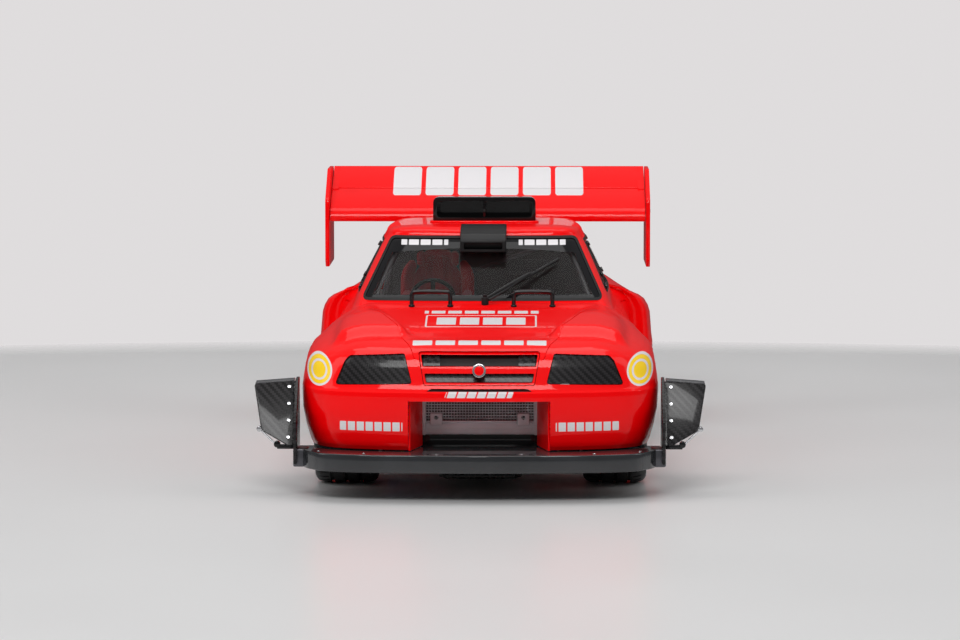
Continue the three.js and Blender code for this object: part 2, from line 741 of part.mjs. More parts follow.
place(bodyGroup, "cockpit_wheel", cockpitWheel(), blackPlastic, wheelCentre, [columnRake, 0, 0]);
for (const [name, side] of sides) {
  const lamp = side > 0 ? lampOutline : flipped(lampOutline);
  place(bodyGroup, `side_window_${name}`, cabinPane(sidePrism(shrunk(sideWindowOutline), side)), glass);
  place(bodyGroup, `headlight_cover_${name}`, nosePane(nosePrism(shrunk(lamp)), 0.3, wall), carbon);
  place(bodyGroup, `bonnet_hoop_${name}`, bonnetHoop(side * 28), blackPlastic);
  place(bodyGroup, `splitter_fence_${name}`, fence(side), carbon);
  place(bodyGroup, `dive_plate_${name}`, divePlate(side), carbon);
  place(bodyGroup, `wing_end_plate_${name}`, endPlate(side), redPaint);
}

place(chassisGroup, "chassis_plate", chassisPlate(), carbon);
place(chassisGroup, "battery_pack", battery(), caseBlue);
place(chassisGroup, "speed_controller", speedController(), blackPlastic);
place(chassisGroup, "receiver", receiver(), blackPlastic);
place(chassisGroup, "steering_servo", servo(), blackPlastic);
place(chassisGroup, "steering_rack", steeringRack(), aluminium);
place(chassisGroup, "gearbox", gearbox(), blackPlastic);
place(chassisGroup, "motor", motor(), aluminium, [0, motorY, motorZ]);
place(chassisGroup, "motor_pinion", pinion(), steel, [0, motorY, motorZ]);
place(chassisGroup, "spur_gear", spurGear(), gearNylon, [0, layshaftY, layshaftZ]);
place(chassisGroup, "front_tower", tower(frontTowerPostZ), carbon, [0, frontAxleY + frontTowerOffset, 0]);
place(chassisGroup, "rear_tower", tower(rearTowerPostZ), carbon, [0, rearAxleY + rearTowerOffset, 0]);
for (const [name, side] of sides) {
  const turn = [0, 0, side > 0 ? 0 : Math.PI];
  const corners = [["front", frontAxleY, frontTrackHalf, frontArm], ["rear", rearAxleY, rearTrackHalf, rearArm]];
  for (const [end, axleY, trackHalf, arm] of corners) {
    const damperY = axleY + (end === "front" ? frontDamperOffset : rearDamperOffset);
    place(chassisGroup, `${end}_arm_${name}`, arm(), blackPlastic, [0, axleY, 0], turn);
    place(chassisGroup, `${end}_damper_${name}`, damper(), springSteel, [0, damperY, 0], turn);
    place(chassisGroup, `${end}_rim_${name}`, rim(), rimPlastic, [side * trackHalf, axleY, axleZ], turn);
    place(chassisGroup, `${end}_tyre_${name}`, tyre(), tyreRubber, [side * trackHalf, axleY, axleZ], turn);
  }
  place(chassisGroup, `knuckle_${name}`, knuckle(side), aluminium, [0, frontAxleY, 0]);
  place(chassisGroup, `rear_driveshaft_${name}`, driveshaft(), steel, [0, rearAxleY, axleZ], turn);
}

export default car;
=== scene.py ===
import json
import math

import bpy
from mathutils import Matrix, Vector

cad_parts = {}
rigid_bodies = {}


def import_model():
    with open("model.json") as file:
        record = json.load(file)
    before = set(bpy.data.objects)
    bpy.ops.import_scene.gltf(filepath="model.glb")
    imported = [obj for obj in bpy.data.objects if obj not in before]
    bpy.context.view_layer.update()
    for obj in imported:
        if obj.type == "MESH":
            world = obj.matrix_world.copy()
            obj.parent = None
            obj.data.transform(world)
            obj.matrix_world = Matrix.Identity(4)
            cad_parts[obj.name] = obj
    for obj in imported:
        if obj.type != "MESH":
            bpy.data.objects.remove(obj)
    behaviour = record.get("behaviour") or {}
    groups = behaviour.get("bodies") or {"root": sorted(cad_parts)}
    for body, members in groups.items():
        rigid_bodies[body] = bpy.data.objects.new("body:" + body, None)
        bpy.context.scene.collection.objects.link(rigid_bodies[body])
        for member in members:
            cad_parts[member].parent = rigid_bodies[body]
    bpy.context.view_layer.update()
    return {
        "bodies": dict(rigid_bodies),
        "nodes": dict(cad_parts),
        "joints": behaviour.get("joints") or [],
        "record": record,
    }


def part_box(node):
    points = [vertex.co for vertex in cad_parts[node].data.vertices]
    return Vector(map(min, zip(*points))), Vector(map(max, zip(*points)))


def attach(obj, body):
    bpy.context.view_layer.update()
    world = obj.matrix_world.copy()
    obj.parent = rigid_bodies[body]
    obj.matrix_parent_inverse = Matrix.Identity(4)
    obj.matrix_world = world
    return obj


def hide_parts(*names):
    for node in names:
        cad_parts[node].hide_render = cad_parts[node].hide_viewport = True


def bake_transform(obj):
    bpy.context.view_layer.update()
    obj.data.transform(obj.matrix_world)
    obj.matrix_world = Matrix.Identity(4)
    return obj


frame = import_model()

mm = 0.001
bpy.context.scene.view_settings.view_transform = "Standard"
print("frame loaded")


class Sock:
    # wraps a shader socket so that maths on it adds Math nodes
    def __init__(self, tree, socket):
        self.tree = tree
        self.socket = socket

    def maths(self, operation, *values):
        made = self.tree.nodes.new("ShaderNodeMath")
        made.operation = operation
        for slot, value in zip(made.inputs, values):
            if isinstance(value, Sock):
                self.tree.links.new(value.socket, slot)
            else:
                slot.default_value = value
        return Sock(self.tree, made.outputs[0])

    def __add__(self, other):
        return self.maths("ADD", self, other)

    def __radd__(self, other):
        return self.maths("ADD", other, self)

    def __sub__(self, other):
        return self.maths("SUBTRACT", self, other)

    def __rsub__(self, other):
        return self.maths("SUBTRACT", other, self)

    def __mul__(self, other):
        return self.maths("MULTIPLY", self, other)

    def __rmul__(self, other):
        return self.maths("MULTIPLY", other, self)

    def __truediv__(self, other):
        return self.maths("DIVIDE", self, other)

    def __lt__(self, other):
        return self.maths("LESS_THAN", self, other)

    def __gt__(self, other):
        return self.maths("GREATER_THAN", self, other)

    def __abs__(self):
        return self.maths("ABSOLUTE", self)

    def __mod__(self, other):
        return self.maths("FLOORED_MODULO", self, other)

    def floor(self):
        return self.maths("FLOOR", self)

    def sin(self):
        return self.maths("SINE", self)

    def clip(self):
        return self.maths("MINIMUM", self.maths("MAXIMUM", self, 0.0), 1.0)

    def atLeast(self, other):
        return self.maths("MAXIMUM", self, other)

    def power(self, other):
        return self.maths("POWER", self, other)

    def ramp(self, low, high):
        return ((self - low) * (1.0 / (high - low))).clip()


class Finish:
    # one material with its Principled shader; node() adds any other node
    def __init__(self, name, colour, rough, **sockets):
        self.material = bpy.data.materials.new(name)
        self.material.use_nodes = True
        self.tree = self.material.node_tree
        self.shader = self.tree.nodes["Principled BSDF"]
        self.shader.inputs["Base Color"].default_value = (*colour, 1)
        self.shader.inputs["Roughness"].default_value = rough
        for key, value in sockets.items():
            self.shader.inputs[key.replace("_", " ")].default_value = value
        self.material.diffuse_color = (*colour, 1)
        self.place = None

    def node(self, kind, settings=None, inputs=None, output=0):
        made = self.tree.nodes.new("ShaderNode" + kind)
        for key, value in (settings or {}).items():
            if key == "stops":
                for i, (at, colour) in enumerate(value):
                    stop = made.color_ramp.elements[i] if i < 2 else made.color_ramp.elements.new(at)
                    stop.position = at
                    stop.color = colour
            else:
                setattr(made, key, value)
        for key, value in (inputs or {}).items():
            if isinstance(value, Sock):
                self.tree.links.new(value.socket, made.inputs[key])
            else:
                made.inputs[key].default_value = value
        return Sock(self.tree, made.outputs[output])

    def axes(self):
        if self.place is None:
            self.place = self.node("TexCoord", output="Object")
            parts = self.tree.nodes.new("ShaderNodeSeparateXYZ")
            self.tree.links.new(self.place.socket, parts.inputs[0])
            self.xyz = [Sock(self.tree, s) for s in parts.outputs]
        return self.xyz

    def noise(self, scale, detail=2.0, rough=0.5, kind="Fac", distortion=0.0):
        self.axes()
        return self.node("TexNoise", None, {"Vector": self.place, "Scale": scale, "Detail": detail,
                                            "Roughness": rough, "Distortion": distortion}, kind)

    def mix(self, factor, a, b):
        made = self.tree.nodes.new("ShaderNodeMix")
        made.data_type = "RGBA"
        for index, value in ((0, factor), (6, a), (7, b)):
            if isinstance(value, Sock):
                self.tree.links.new(value.socket, made.inputs[index])
            else:
                made.inputs[index].default_value = value if index == 0 else (*value[:3], 1)
        return Sock(self.tree, made.outputs[2])

    def put(self, **links):
        for key, value in links.items():
            self.tree.links.new(value.socket, self.shader.inputs[key.replace("_", " ")])
        return self

    def bump(self, height, strength=0.3, distance=0.0002):
        self.put(Normal=self.node("Bump", None, {"Strength": strength, "Distance": distance,
            "Height": height}, "Normal"))
        return self


def deselect():
    if bpy.context.mode != "OBJECT":
        bpy.ops.object.mode_set(mode="OBJECT")
    bpy.ops.object.select_all(action="DESELECT")


def only(piece):
    deselect()
    piece.select_set(True)
    bpy.context.view_layer.objects.active = piece
    return piece


def edit(piece, action="SELECT", kind="FACE"):
    only(piece)
    bpy.ops.object.mode_set(mode="EDIT")
    bpy.ops.mesh.select_mode(type=kind)
    bpy.ops.mesh.select_all(action=action)


def pick(piece, test, kind="FACE"):
    # selects the faces or edges that pass a test on their middle and normal, and goes into edit mode
    edit(piece, "DESELECT", kind)
    bpy.ops.object.mode_set(mode="OBJECT")
    if kind == "FACE":
        for face in piece.data.polygons:
            face.select = test(face.center, face.normal)
    else:
        points = piece.data.vertices
        for edge in piece.data.edges:
            a, b = (points[i].co for i in edge.vertices)
            edge.select = test((a + b) / 2, b - a)
    bpy.ops.object.mode_set(mode="EDIT")


def done():
    bpy.ops.object.mode_set(mode="OBJECT")


def modify(piece, kind, **settings):
    only(piece)
    made = piece.modifiers.new(kind.title(), kind)
    for key, value in settings.items():
        setattr(made, key, value)
    bpy.ops.object.modifier_apply(modifier=made.name)
    return piece


def bevel(piece, width, segments=2, angle=35):
    return modify(piece, "BEVEL", width=width * mm, segments=segments, limit_method="ANGLE",
                  angle_limit=math.radians(angle), harden_normals=False)


def cut(piece, cutter, operation="DIFFERENCE", solver="EXACT"):
    modify(piece, "BOOLEAN", object=cutter, operation=operation, solver=solver)
    bpy.data.objects.remove(cutter)
    return piece


def settle(piece):
    # puts the object at the origin, with its place in its mesh
    only(piece)
    bpy.ops.object.transform_apply(location=True, rotation=True, scale=True)
    return piece


def meshPiece(name, points, faces):
    data = bpy.data.meshes.new(name)
    data.from_pydata([Vector(p) * mm for p in points], [], faces)
    data.update()
    piece = bpy.data.objects.new(name, data)
    bpy.context.scene.collection.objects.link(piece)
    return piece


def outward(piece):
    edit(piece)
    bpy.ops.mesh.remove_doubles(threshold=0.00001)
    bpy.ops.mesh.normals_make_consistent(inside=False)
    done()
    return piece


def block(name, low, high, round=0.4, segments=2):
    middle = [(a + b) / 2 * mm for a, b in zip(low, high)]
    deselect()
    bpy.ops.mesh.primitive_cube_add(size=1, location=middle)
    piece = bpy.context.active_object
    piece.name = name
    piece.scale = [(b - a) * mm for a, b in zip(low, high)]
    settle(piece)
    return bevel(piece, round, segments) if round else piece


def span(side, a, b):
    # the same stretch of X on the right (1) or the left (-1), low end first
    return min(side * a, side * b), max(side * a, side * b)


def sideBlock(name, side, x, y, z, round=0.5, segments=2):
    # a block from its stretches along X, Y and Z, with X on one side of the car
    low, high = span(side, *x)
    return block(name, (low, y[0], z[0]), (high, y[1], z[1]), round, segments)


def cylinder(name, start, end, radius, sides=32, round=0.3, radiusEnd=None):
    a, b = Vector(start) * mm, Vector(end) * mm
    along = b - a
    deselect()
    bpy.ops.mesh.primitive_cone_add(vertices=sides, radius1=radius * mm, depth=along.length,
                                    radius2=(radius if radiusEnd is None else radiusEnd) * mm,
                                    location=(a + b) / 2)
    piece = bpy.context.active_object
    piece.name = name
    piece.rotation_mode = "QUATERNION"
    piece.rotation_quaternion = Vector((0, 0, 1)).rotation_difference(along.normalized())
    settle(piece)
    return bevel(piece, round, 2, 50) if round else piece


def plate(name, outline, axis, low, high, round=0.25, segments=2):
    # an outline in the two other axes, pushed along the axis from low to high
    a, b = [i for i in range(3) if i != "XYZ".index(axis)]
    points = []
    for u, v in outline:
        point = [0, 0, 0]
        point[a], point[b], point["XYZ".index(axis)] = u, v, low
        points.append(point)
    piece = meshPiece(name, points, [list(range(len(points)))])
    edit(piece)
    push = [0, 0, 0]
    push["XYZ".index(axis)] = (high - low) * mm
    bpy.ops.mesh.extrude_region_move(TRANSFORM_OT_translate={"value": push})
    done()
    outward(piece)
    return bevel(piece, round, segments) if round else piece


def tube(name, points, radius, sides=10, closed=False, smooth=True):
    data = bpy.data.curves.new(name, "CURVE")
    data.dimensions = "3D"
    line = data.splines.new("NURBS" if smooth else "POLY")
    line.points.add(len(points) - 1)
    for spot, p in zip(line.points, points):
        spot.co = (*(Vector(p) * mm), 1)
    if smooth:
        line.order_u = min(3, len(points))
        line.use_endpoint_u = True
    line.use_cyclic_u = closed
    data.bevel_depth = radius * mm
    data.bevel_resolution = max(1, sides // 4)
    data.resolution_u = 6
    data.use_fill_caps = True
    piece = bpy.data.objects.new(name, data)
    bpy.context.scene.collection.objects.link(piece)
    only(piece)
    bpy.ops.object.convert(target="MESH")
    return bpy.context.active_object


def spun(name, profile, sides=72):
    # a profile of (distance along X, radius) points turned about the X axis
    points, faces = [], []
    count = len(profile)
    for i in range(sides):
        a = 2 * math.pi * i / sides
        for along, r in profile:
            points.append((along, r * math.cos(a), r * math.sin(a)))
        for k in range(count):
            n, j = (k + 1) % count, (i + 1) % sides
            faces.append((i * count + k, i * count + n, j * count + n, j * count + k))
    return outward(meshPiece(name, points, faces))


def join(name, pieces):
    deselect()
    for piece in pieces:
        piece.select_set(True)
    bpy.context.view_layer.objects.active = pieces[0]
    bpy.ops.object.join()
    whole = bpy.context.active_object
    whole.name = name
    return whole


def moved(piece, name, matrix):
    twin = piece.copy()
    twin.data = piece.data.copy()
    twin.name = name
    bpy.context.scene.collection.objects.link(twin)
    twin.data.transform(matrix)
    return twin


def dress(piece, body, slot, *looks, replaces=(), smooth=35):
    # gives a finished piece its materials and its body, and hides the CAD nodes that it stands for; the
    # slot is not used
    settle(piece)
    for i, look in enumerate(looks):
        if i < len(piece.data.materials):
            piece.data.materials[i] = look.material
        else:
            piece.data.materials.append(look.material)
    if smooth:
        only(piece)
        bpy.ops.object.shade_smooth_by_angle(angle=math.radians(smooth))
    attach(piece, body)
    if replaces:
        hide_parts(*replaces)
    return piece


def scatter(name, pattern, places):
    # one mesh holding a copy of the pattern at each place (a matrix)
    copies = [moved(pattern, name, place) for place in places]
    whole = join(name, copies)
    bpy.data.objects.remove(pattern)
    return whole


def facing(position, normal, size=1.0):
    turn = Vector((0, 0, 1)).rotation_difference(Vector(normal).normalized()).to_matrix().to_4x4()
    return Matrix.Translation(Vector(position) * mm) @ turn @ Matrix.Scale(size, 4)


def boltHead(radius=1.0, height=0.7):
    # a button head with a hexagon socket, standing on +Z
    head = cylinder("bolt", (0, 0, 0), (0, 0, height), radius, 20, 0.0)
    pick(head, lambda c, n: n.z > 0.9)
    bpy.ops.mesh.inset(thickness=radius * 0.42 * mm)
    bpy.ops.mesh.extrude_region_move(TRANSFORM_OT_translate={"value": (0, 0, -height * 0.55 * mm)})
    done()
    return bevel(head, 0.12, 2, 30)


look = {
    "redBase": (0.92, 0.0, 0.0012), "redDeep": (0.84, 0.0, 0.0012),
    "white": (0.70, 0.685, 0.70), "yellow": (0.93, 0.62, 0.02),
    "twillSize": 1.05, "twillDark": (0.004, 0.004, 0.004), "twillLight": (0.030, 0.027, 0.030),
}


def roundedBox(u, v, halfU, halfV, radius):
    # distance outside a rounded rectangle, in metres
    du = (abs(u) - (halfU - radius)).atLeast(0.0)
    dv = (abs(v) - (halfV - radius)).atLeast(0.0)
    return (du * du + dv * dv).power(0.5) - radius


def inside(distance, blur=0.00012):
    return 1.0 - distance.ramp(-blur, blur)


def redPaint(name, marks=None):
    # clear-coated red with a faint orange peel; marks() may give white and yellow masks
    paint = Finish(name, look["redBase"], 0.4, Coat_Weight=0.36, Coat_Roughness=0.03,
        Specular_IOR_Level=0.05)
    tone = paint.noise(9.0, 3.0).ramp(0.3, 0.75)
    colour = paint.mix(tone, look["redBase"], look["redDeep"])
    if marks:
        white, yellow = marks(paint)
        colour = paint.mix(white, colour, look["white"])
        colour = paint.mix(yellow, colour, look["yellow"])
    paint.put(Base_Color=colour, Roughness=paint.noise(60.0, 2.0) * 0.1 + 0.35)
    return paint.bump(paint.noise(420.0, 1.0), 0.035, 0.0001)


markSizes = {
    # rows of blocks: half length, half height and corner of the row; pitch; the same three of a block
    "bonnetFront": (0.0360, 0.0052, 0.0012, 0.0120, 0.0051, 0.0052, 0.0008),
    "bonnetRear": (0.0310, 0.0045, 0.0006, 0.0090, 0.0037, 0.0040, 0.0004),
    "panel": (0.0245, 0.0100, 0.0006, 0.0125, 0.0052, 0.0100, 0.0006),
    "bumper": (0.0165, 0.0024, 0.0006, 0.0047, 0.0019, 0.0024, 0.0003),
    "noseStrip": (0.0175, 0.0016, 0.0006, 0.0052, 0.0022, 0.0016, 0.0003),
    "header": (0.0132, 0.0014, 0.0004, 0.0066, 0.0028, 0.0014, 0.0004),
    "frontY": -0.1985, "rearY": -0.1125, "panelY": -0.138, "stripZ": 0.0555, "stripSlant": 0.35,
    "bumperX": 0.0565, "bumperZ": 0.0385, "headerX": 0.0330, "headerZ": 0.1224,
    "discX": 0.0845, "discZ": 0.0665, "discs": (0.0081, 0.0070, 0.0052, 0.0040),
}


def blockRow(along, across, sizes, shift=0.1, middle=0.0):
    # a row of blocks at an even pitch, cut off at the ends of the row
    half, rise, corner, pitch, blockHalf, blockRise, blockCorner = sizes
    row = inside(roundedBox(along - middle, across, half, rise, corner))
    within = (along + shift) % pitch - pitch / 2
    return row * inside(roundedBox(within, across, blockHalf, blockRise, blockCorner))


def hullMarks(paint):
    # rows of blocks and a framed panel on the bonnet and the nose, a ringed disc on each front corner
    x, y, z = paint.axes()
    front = y < -0.100
    top = (z > 0.0795) * (y < -0.105)
    bar = blockRow(x, y - markSizes["frontY"], markSizes["bonnetFront"], 0.12) * (z > 0.0775)
    across = y - markSizes["panelY"]
    frame = inside(roundedBox(x, across, 0.0300, 0.0165, 0.0015))
    hollow = inside(roundedBox(x, across, 0.0291, 0.0152, 0.0010))
    panel = frame * (1.0 - hollow) + blockRow(x, across, markSizes["panel"])
    rear = blockRow(x, y - markSizes["rearY"], markSizes["bonnetRear"])
    low = front * blockRow(abs(x), z - markSizes["bumperZ"], markSizes["bumper"],
        middle=markSizes["bumperX"])
    rise = z - markSizes["stripZ"]
    mid = (y < -0.19) * front * blockRow(x - rise * markSizes["stripSlant"], rise, markSizes["noseStrip"])
    u, v = abs(x) - markSizes["discX"], z - markSizes["discZ"]
    disc = (u * u * 1.25 + v * v).power(0.5)
    nose = (y < -0.165) * (z < 0.0785)
    rim, core, ring, spot = (inside(disc - radius) * nose for radius in markSizes["discs"])
    white = (top * (panel + rear) + bar + low + mid + rim * (1.0 - core) + ring * (1.0 - spot)).clip()
    yellow = core * (1.0 - ring) + spot
    return white, yellow.clip()


def wingMarks(paint):
    # a row of plain white blocks along the wing's face
    x, y, z = paint.axes()
    row = inside(roundedBox(x, z - 0.1432, 0.0600, 0.0078, 0.0008))
    gaps = inside(roundedBox((x + 0.12) % 0.0200 - 0.0100, z - 0.1432, 0.0086, 0.0078, 0.0016))
    front = 1.0 - (y > 0.2325)
    zero = x * 0.0
    return row * gaps * front, zero


def carbonTwill(name, first="X", second="Z", gloss=0.22, size=None, brightness=1.0):
    # two-by-two twill in the plane of two axes, under clear lacquer
    weave = Finish(name, look["twillDark"], gloss, Coat_Weight=0.25, Coat_Roughness=0.06,
        Specular_IOR_Level=0.16)
    axes = dict(zip("XYZ", weave.axes()))
    pitch = (size or look["twillSize"]) * mm
    u = axes[first] * (1.0 / pitch) + 500.0
    v = axes[second] * (1.0 / pitch) + 500.0
    over = ((u.floor() + v.floor()) % 4.0) < 1.5
    across = (u * math.pi).sin()
    along = (v * math.pi).sin()
    crown = over * abs(along) + (1.0 - over) * abs(across)
    fibre = weave.noise(2600.0, 1.0) * 0.35 + 0.65
    # the over-and-under tone is the weave pattern; each tow is also painted lighter along its crown and
    # darker at its edges where tows meet, a painted sheen and shade
    tone = (over * 0.72 + (1.0 - over) * 0.16) * (crown * 0.5 + 0.5) * fibre * brightness
    weave.put(Base_Color=weave.mix(tone.clip(), look["twillDark"], look["twillLight"]),
              Roughness=over * 0.12 + (gloss + 0.02))
    return weave.bump(crown, 0.18, 0.0001)


def mouldedPlastic(name, colour, rough=0.42, grain=900.0, coat=0.0):
    plastic = Finish(name, colour, rough, Coat_Weight=coat, Coat_Roughness=0.05, Specular_IOR_Level=0.22)
    cloud = plastic.noise(35.0, 3.0).ramp(0.35, 0.7)
    lighter = tuple(c * 1.35 + 0.003 for c in colour)
    plastic.put(Base_Color=plastic.mix(cloud, colour, lighter),
        Roughness=plastic.noise(140.0) * 0.16 + (rough - 0.08))
    return plastic.bump(plastic.noise(grain, 2.0), 0.12 if not coat else 0.04, 0.0001)


def metal(name, colour, rough, brushed="X", tint=0.8, marks=0.5):
    made = Finish(name, colour, rough, Metallic=1.0)
    made.axes()
    stretch = {"X": (6.0, 700.0, 700.0), "Y": (700.0, 6.0, 700.0), "Z": (700.0, 700.0, 6.0)}[brushed]
    lines = made.node("TexNoise", None, {"Vector": made.node(
        "Mapping", None, {"Vector": made.place, "Scale": stretch}, "Vector"), "Scale": 1.0, "Detail": 2.0},
        "Fac")
    wear = made.noise(55.0, 4.0, 0.6).ramp(0.42, 0.68)
    dim = tuple(c * tint for c in colour)
    made.put(Base_Color=made.mix(wear, colour, dim),
        Roughness=lines * 0.22 * marks + wear * 0.08 + rough - 0.08)
    return made.bump(lines, 0.12 * marks, 0.0001)


def tintedGlass(name, shade=(0.014, 0.012, 0.012), clear=0.2, border=None, headerMarks=0.0):
    # thin smoked plastic; border() may give a mask that is painted solid black
    pane = Finish(name, shade, 0.03, IOR=1.5, Specular_IOR_Level=0.10)
    haze = pane.noise(24.0, 3.0) * 0.05
    see = haze + clear
    if border:
        mask = border(pane)
        see = (see + mask).clip()
        dark = pane.mix(mask, shade, (0.006, 0.006, 0.007))
        x, y, z = pane.axes()
        row = blockRow(abs(x), z - markSizes["headerZ"], markSizes["header"], 0.05,
            markSizes["headerX"]) * (y < 0.0)
        pane.put(Base_Color=pane.mix(row * headerMarks, dark, look["white"]))
    pane.put(Alpha=see, Roughness=pane.noise(90.0) * 0.03 + 0.02)
    return pane


def wovenSeat(name, colour):
    cloth = Finish(name, colour, 0.85, Sheen_Weight=0.35, Sheen_Roughness=0.4)
    x, y, z = cloth.axes()
    warp = (x * 9500.0).sin()
    weft = ((z + y * 0.6) * 9500.0).sin()
    weave = warp * weft * 0.5 + 0.5
    cloud = cloth.noise(60.0, 3.0).ramp(0.3, 0.7)
    dark = tuple(c * 0.55 for c in colour)
    cloth.put(Base_Color=cloth.mix((cloud * 0.5 + weave * 0.4).clip(), colour, dark),
        Roughness=weave * 0.15 + 0.75)
    return cloth.bump(weave, 0.25, 0.0002)


def tyreRubber(name):
    rubber = Finish(name, (0.011, 0.011, 0.012), 0.62)
    dust = rubber.noise(45.0, 5.0, 0.6).ramp(0.5, 0.8)
    rubber.put(Base_Color=rubber.mix(dust, (0.011, 0.011, 0.012), (0.035, 0.034, 0.033)),
               Roughness=dust * 0.18 + 0.55)
    return rubber.bump(rubber.noise(1500.0, 2.0), 0.2, 0.0001)


def screenBorder(pane):
    # the black band round the windscreen, wider along the pillars and the header
    x, y, z = pane.axes()
    half = 0.0660 - (z - 0.0942) * 0.477
    side = inside(half - 0.0040 - abs(x), 0.0003)
    header = inside(0.1195 - x * x * 0.9 - z, 0.0003)
    foot = inside(z - 0.0962, 0.0003)
    return (side + header + foot).clip()


def sideBorder(pane):
    x, y, z = pane.axes()
    foot = inside(z - 0.0985, 0.0002)
    head = inside(0.1212 - z, 0.0002)
    return (foot + head).clip()


paintHull = redPaint("paintHull", hullMarks)
paintPlain = redPaint("paintPlain")
paintWing = redPaint("paintWing", wingMarks)
twillXZ = carbonTwill("twillFront")
twillXY = carbonTwill("twillFlat", "X", "Y", 0.16)
twillYZ = carbonTwill("twillSide", "Y", "Z")
blackGloss = mouldedPlastic("blackGloss", (0.003, 0.003, 0.0035), 0.16, 500.0, 0.35)
blackSatin = mouldedPlastic("blackSatin", (0.007, 0.007, 0.0075), 0.4)
# darkInside is real black plastic on the cockpit tray and plugs, and painted shade on the sheets behind the
# grille, the nose slot and the side vents
darkInside = mouldedPlastic("darkInside", (0.020, 0.019, 0.019), 0.6)
nylonGrey = mouldedPlastic("nylonGrey", (0.055, 0.055, 0.058), 0.5)
whiteRim = mouldedPlastic("whiteRim", (0.74, 0.74, 0.73), 0.28, 700.0, 0.4)
caseBlue = mouldedPlastic("caseBlue", (0.015, 0.06, 0.26), 0.38)
lampRed = tintedGlass("lampRed", (0.50, 0.0, 0.004), 0.62)
labelPale = mouldedPlastic("labelPale", (0.55, 0.56, 0.58), 0.4)
wireRed = mouldedPlastic("wireRed", (0.52, 0.012, 0.010), 0.4)
aluminium = metal("aluminium", (0.66, 0.68, 0.70), 0.36)
coolerTank = mouldedPlastic("coolerTank", (0.66, 0.67, 0.70), 0.32, 700.0, 0.3)
steelBright = metal("steelBright", (0.62, 0.62, 0.64), 0.24, "Z", 0.85, 0.3)
steelDark = metal("steelDark", (0.10, 0.10, 0.11), 0.35)
anodBlue = metal("anodBlue", (0.03, 0.10, 0.42), 0.3)
springGold = metal("springGold", (0.62, 0.40, 0.05), 0.3)
copper = metal("copper", (0.72, 0.30, 0.14), 0.35)
glassScreen = tintedGlass("glassScreen", border=screenBorder, headerMarks=1.0)
glassSide = tintedGlass("glassSide", (0.45, 0.46, 0.46), 0.12, sideBorder)
seatCloth = wovenSeat("seatCloth", (0.86, 0.045, 0.055))
beltCloth = wovenSeat("beltCloth", (0.66, 0.030, 0.036))
rubber = tyreRubber("rubber")
sealRubber = mouldedPlastic("sealRubber", (0.008, 0.008, 0.008), 0.6)
print("finishes made")


hullShape = {
    "noseY": -222.0, "tailY": 208.0, "frontHalf": 95.6, "doorHalf": 86.0, "rearHalf": 99.4,
    "frontAxle": -140.0, "rearAxle": 117.0, "axleZ": 32.5, "arch": 40.0, "sill": 26.0, "wall": 1.6,
    "bulge": 5.2, "valley": 0.9,
    "shoulder": [(-214, 0), (-196, 5), (-150, 6.5), (-100, 9.5), (-60, 9.5), (46, 9.5), (60, 4.5),
    (152, 11.5),
                 (208, 13)],
}
cabinShape = {
    "beltZ": 88.0, "eaveZ": 126.0, "roofZ": 131.0, "centreY": 10.0, "sideBow": 0.9,
    "eave": [(0.4, 127.2), (1.3, 128.3), (2.9, 129.2), (5.6, 129.9), (9.5, 130.4), (16, 130.8),
    (24, 130.95)],
}


def throughPoints(points, steps):
    # a smooth line through points, with a number of steps in each span
    line = []
    for i in range(len(points) - 1):
        p0, p1, p2, p3 = (Vector(points[min(max(k, 0), len(points) - 1)]) for k in (i - 1, i, i + 1, i + 2))
        for s in range(steps):
            t = s / steps
            line.append(0.5 * ((2 * p1) + (p2 - p0) * t + (2 * p0 - 5 * p1 + 4 * p2 - p3) * t ** 2
                               + (3 * p1 - p0 - 3 * p2 + p3) * t ** 3))
    line.append(Vector(points[-1]))
    return line


def closedPlan(half, steps):
    right = throughPoints(half, steps)
    right[0].x = right[-1].x = 0.0
    return [(p.x, p.y) for p in right] + [(-p.x, p.y) for p in reversed(right[1:-1])]


def smooth(value, low, high):
    t = min(max((value - low) / (high - low), 0.0), 1.0)
    return t * t * (3 - 2 * t)


h = hullShape
hullPlan = closedPlan([
    (0, h["noseY"]), (38, h["noseY"] + 2), (70, h["noseY"] + 9), (86, h["noseY"] + 20),
    (93, h["noseY"] + 38),
    (h["frontHalf"], -160), (h["frontHalf"], -128), (91, -95), (h["doorHalf"], -65), (h["doorHalf"], -10),
    (h["doorHalf"], 59), (h["rearHalf"] - 3, 67), (h["rearHalf"], 107), (h["rearHalf"], 152),
    (96, h["tailY"] - 22), (86, h["tailY"] - 6), (50, h["tailY"] - 1), (0, h["tailY"]),
], 11)


def shoulderDrop(y):
    # how far the outer edge of the deck falls: (y, drop) stations with straight runs between
    stations = h["shoulder"]
    for (y0, d0), (y1, d1) in zip(stations, stations[1:]):
        if y <= y1:
            return d0 + (d1 - d0) * min(max((y - y0) / (y1 - y0), 0.0), 1.0)
    return stations[-1][1]


def deckHeight(x, y):
    # bonnet rising to the cowl with a low middle and a raised panel over each wheel, then a level rear deck
    rise = min(max((y - h["noseY"]) / 130, 0.0), 1.0)
    base = 78 + 14.5 * rise ** 0.9
    side = abs(x)
    innerEdge = 39 + 22 * min(max((y + 178) / 83, 0.0), 1.0)
    along = smooth(y, -188, -178) * (1 - smooth(y, -150, -88))
    panel = smooth(side, innerEdge - 2, innerEdge + 4) * (1 - smooth(side, 73, 79)) * along
    middle = (1 - smooth(side, innerEdge - 4, innerEdge + 2)) * smooth(y, -200,
        -180) * (1 - smooth(y, -104, -92))
    return base + h["bulge"] * panel - h["valley"] * middle - shoulderDrop(y) * smooth(side, 59, 90)


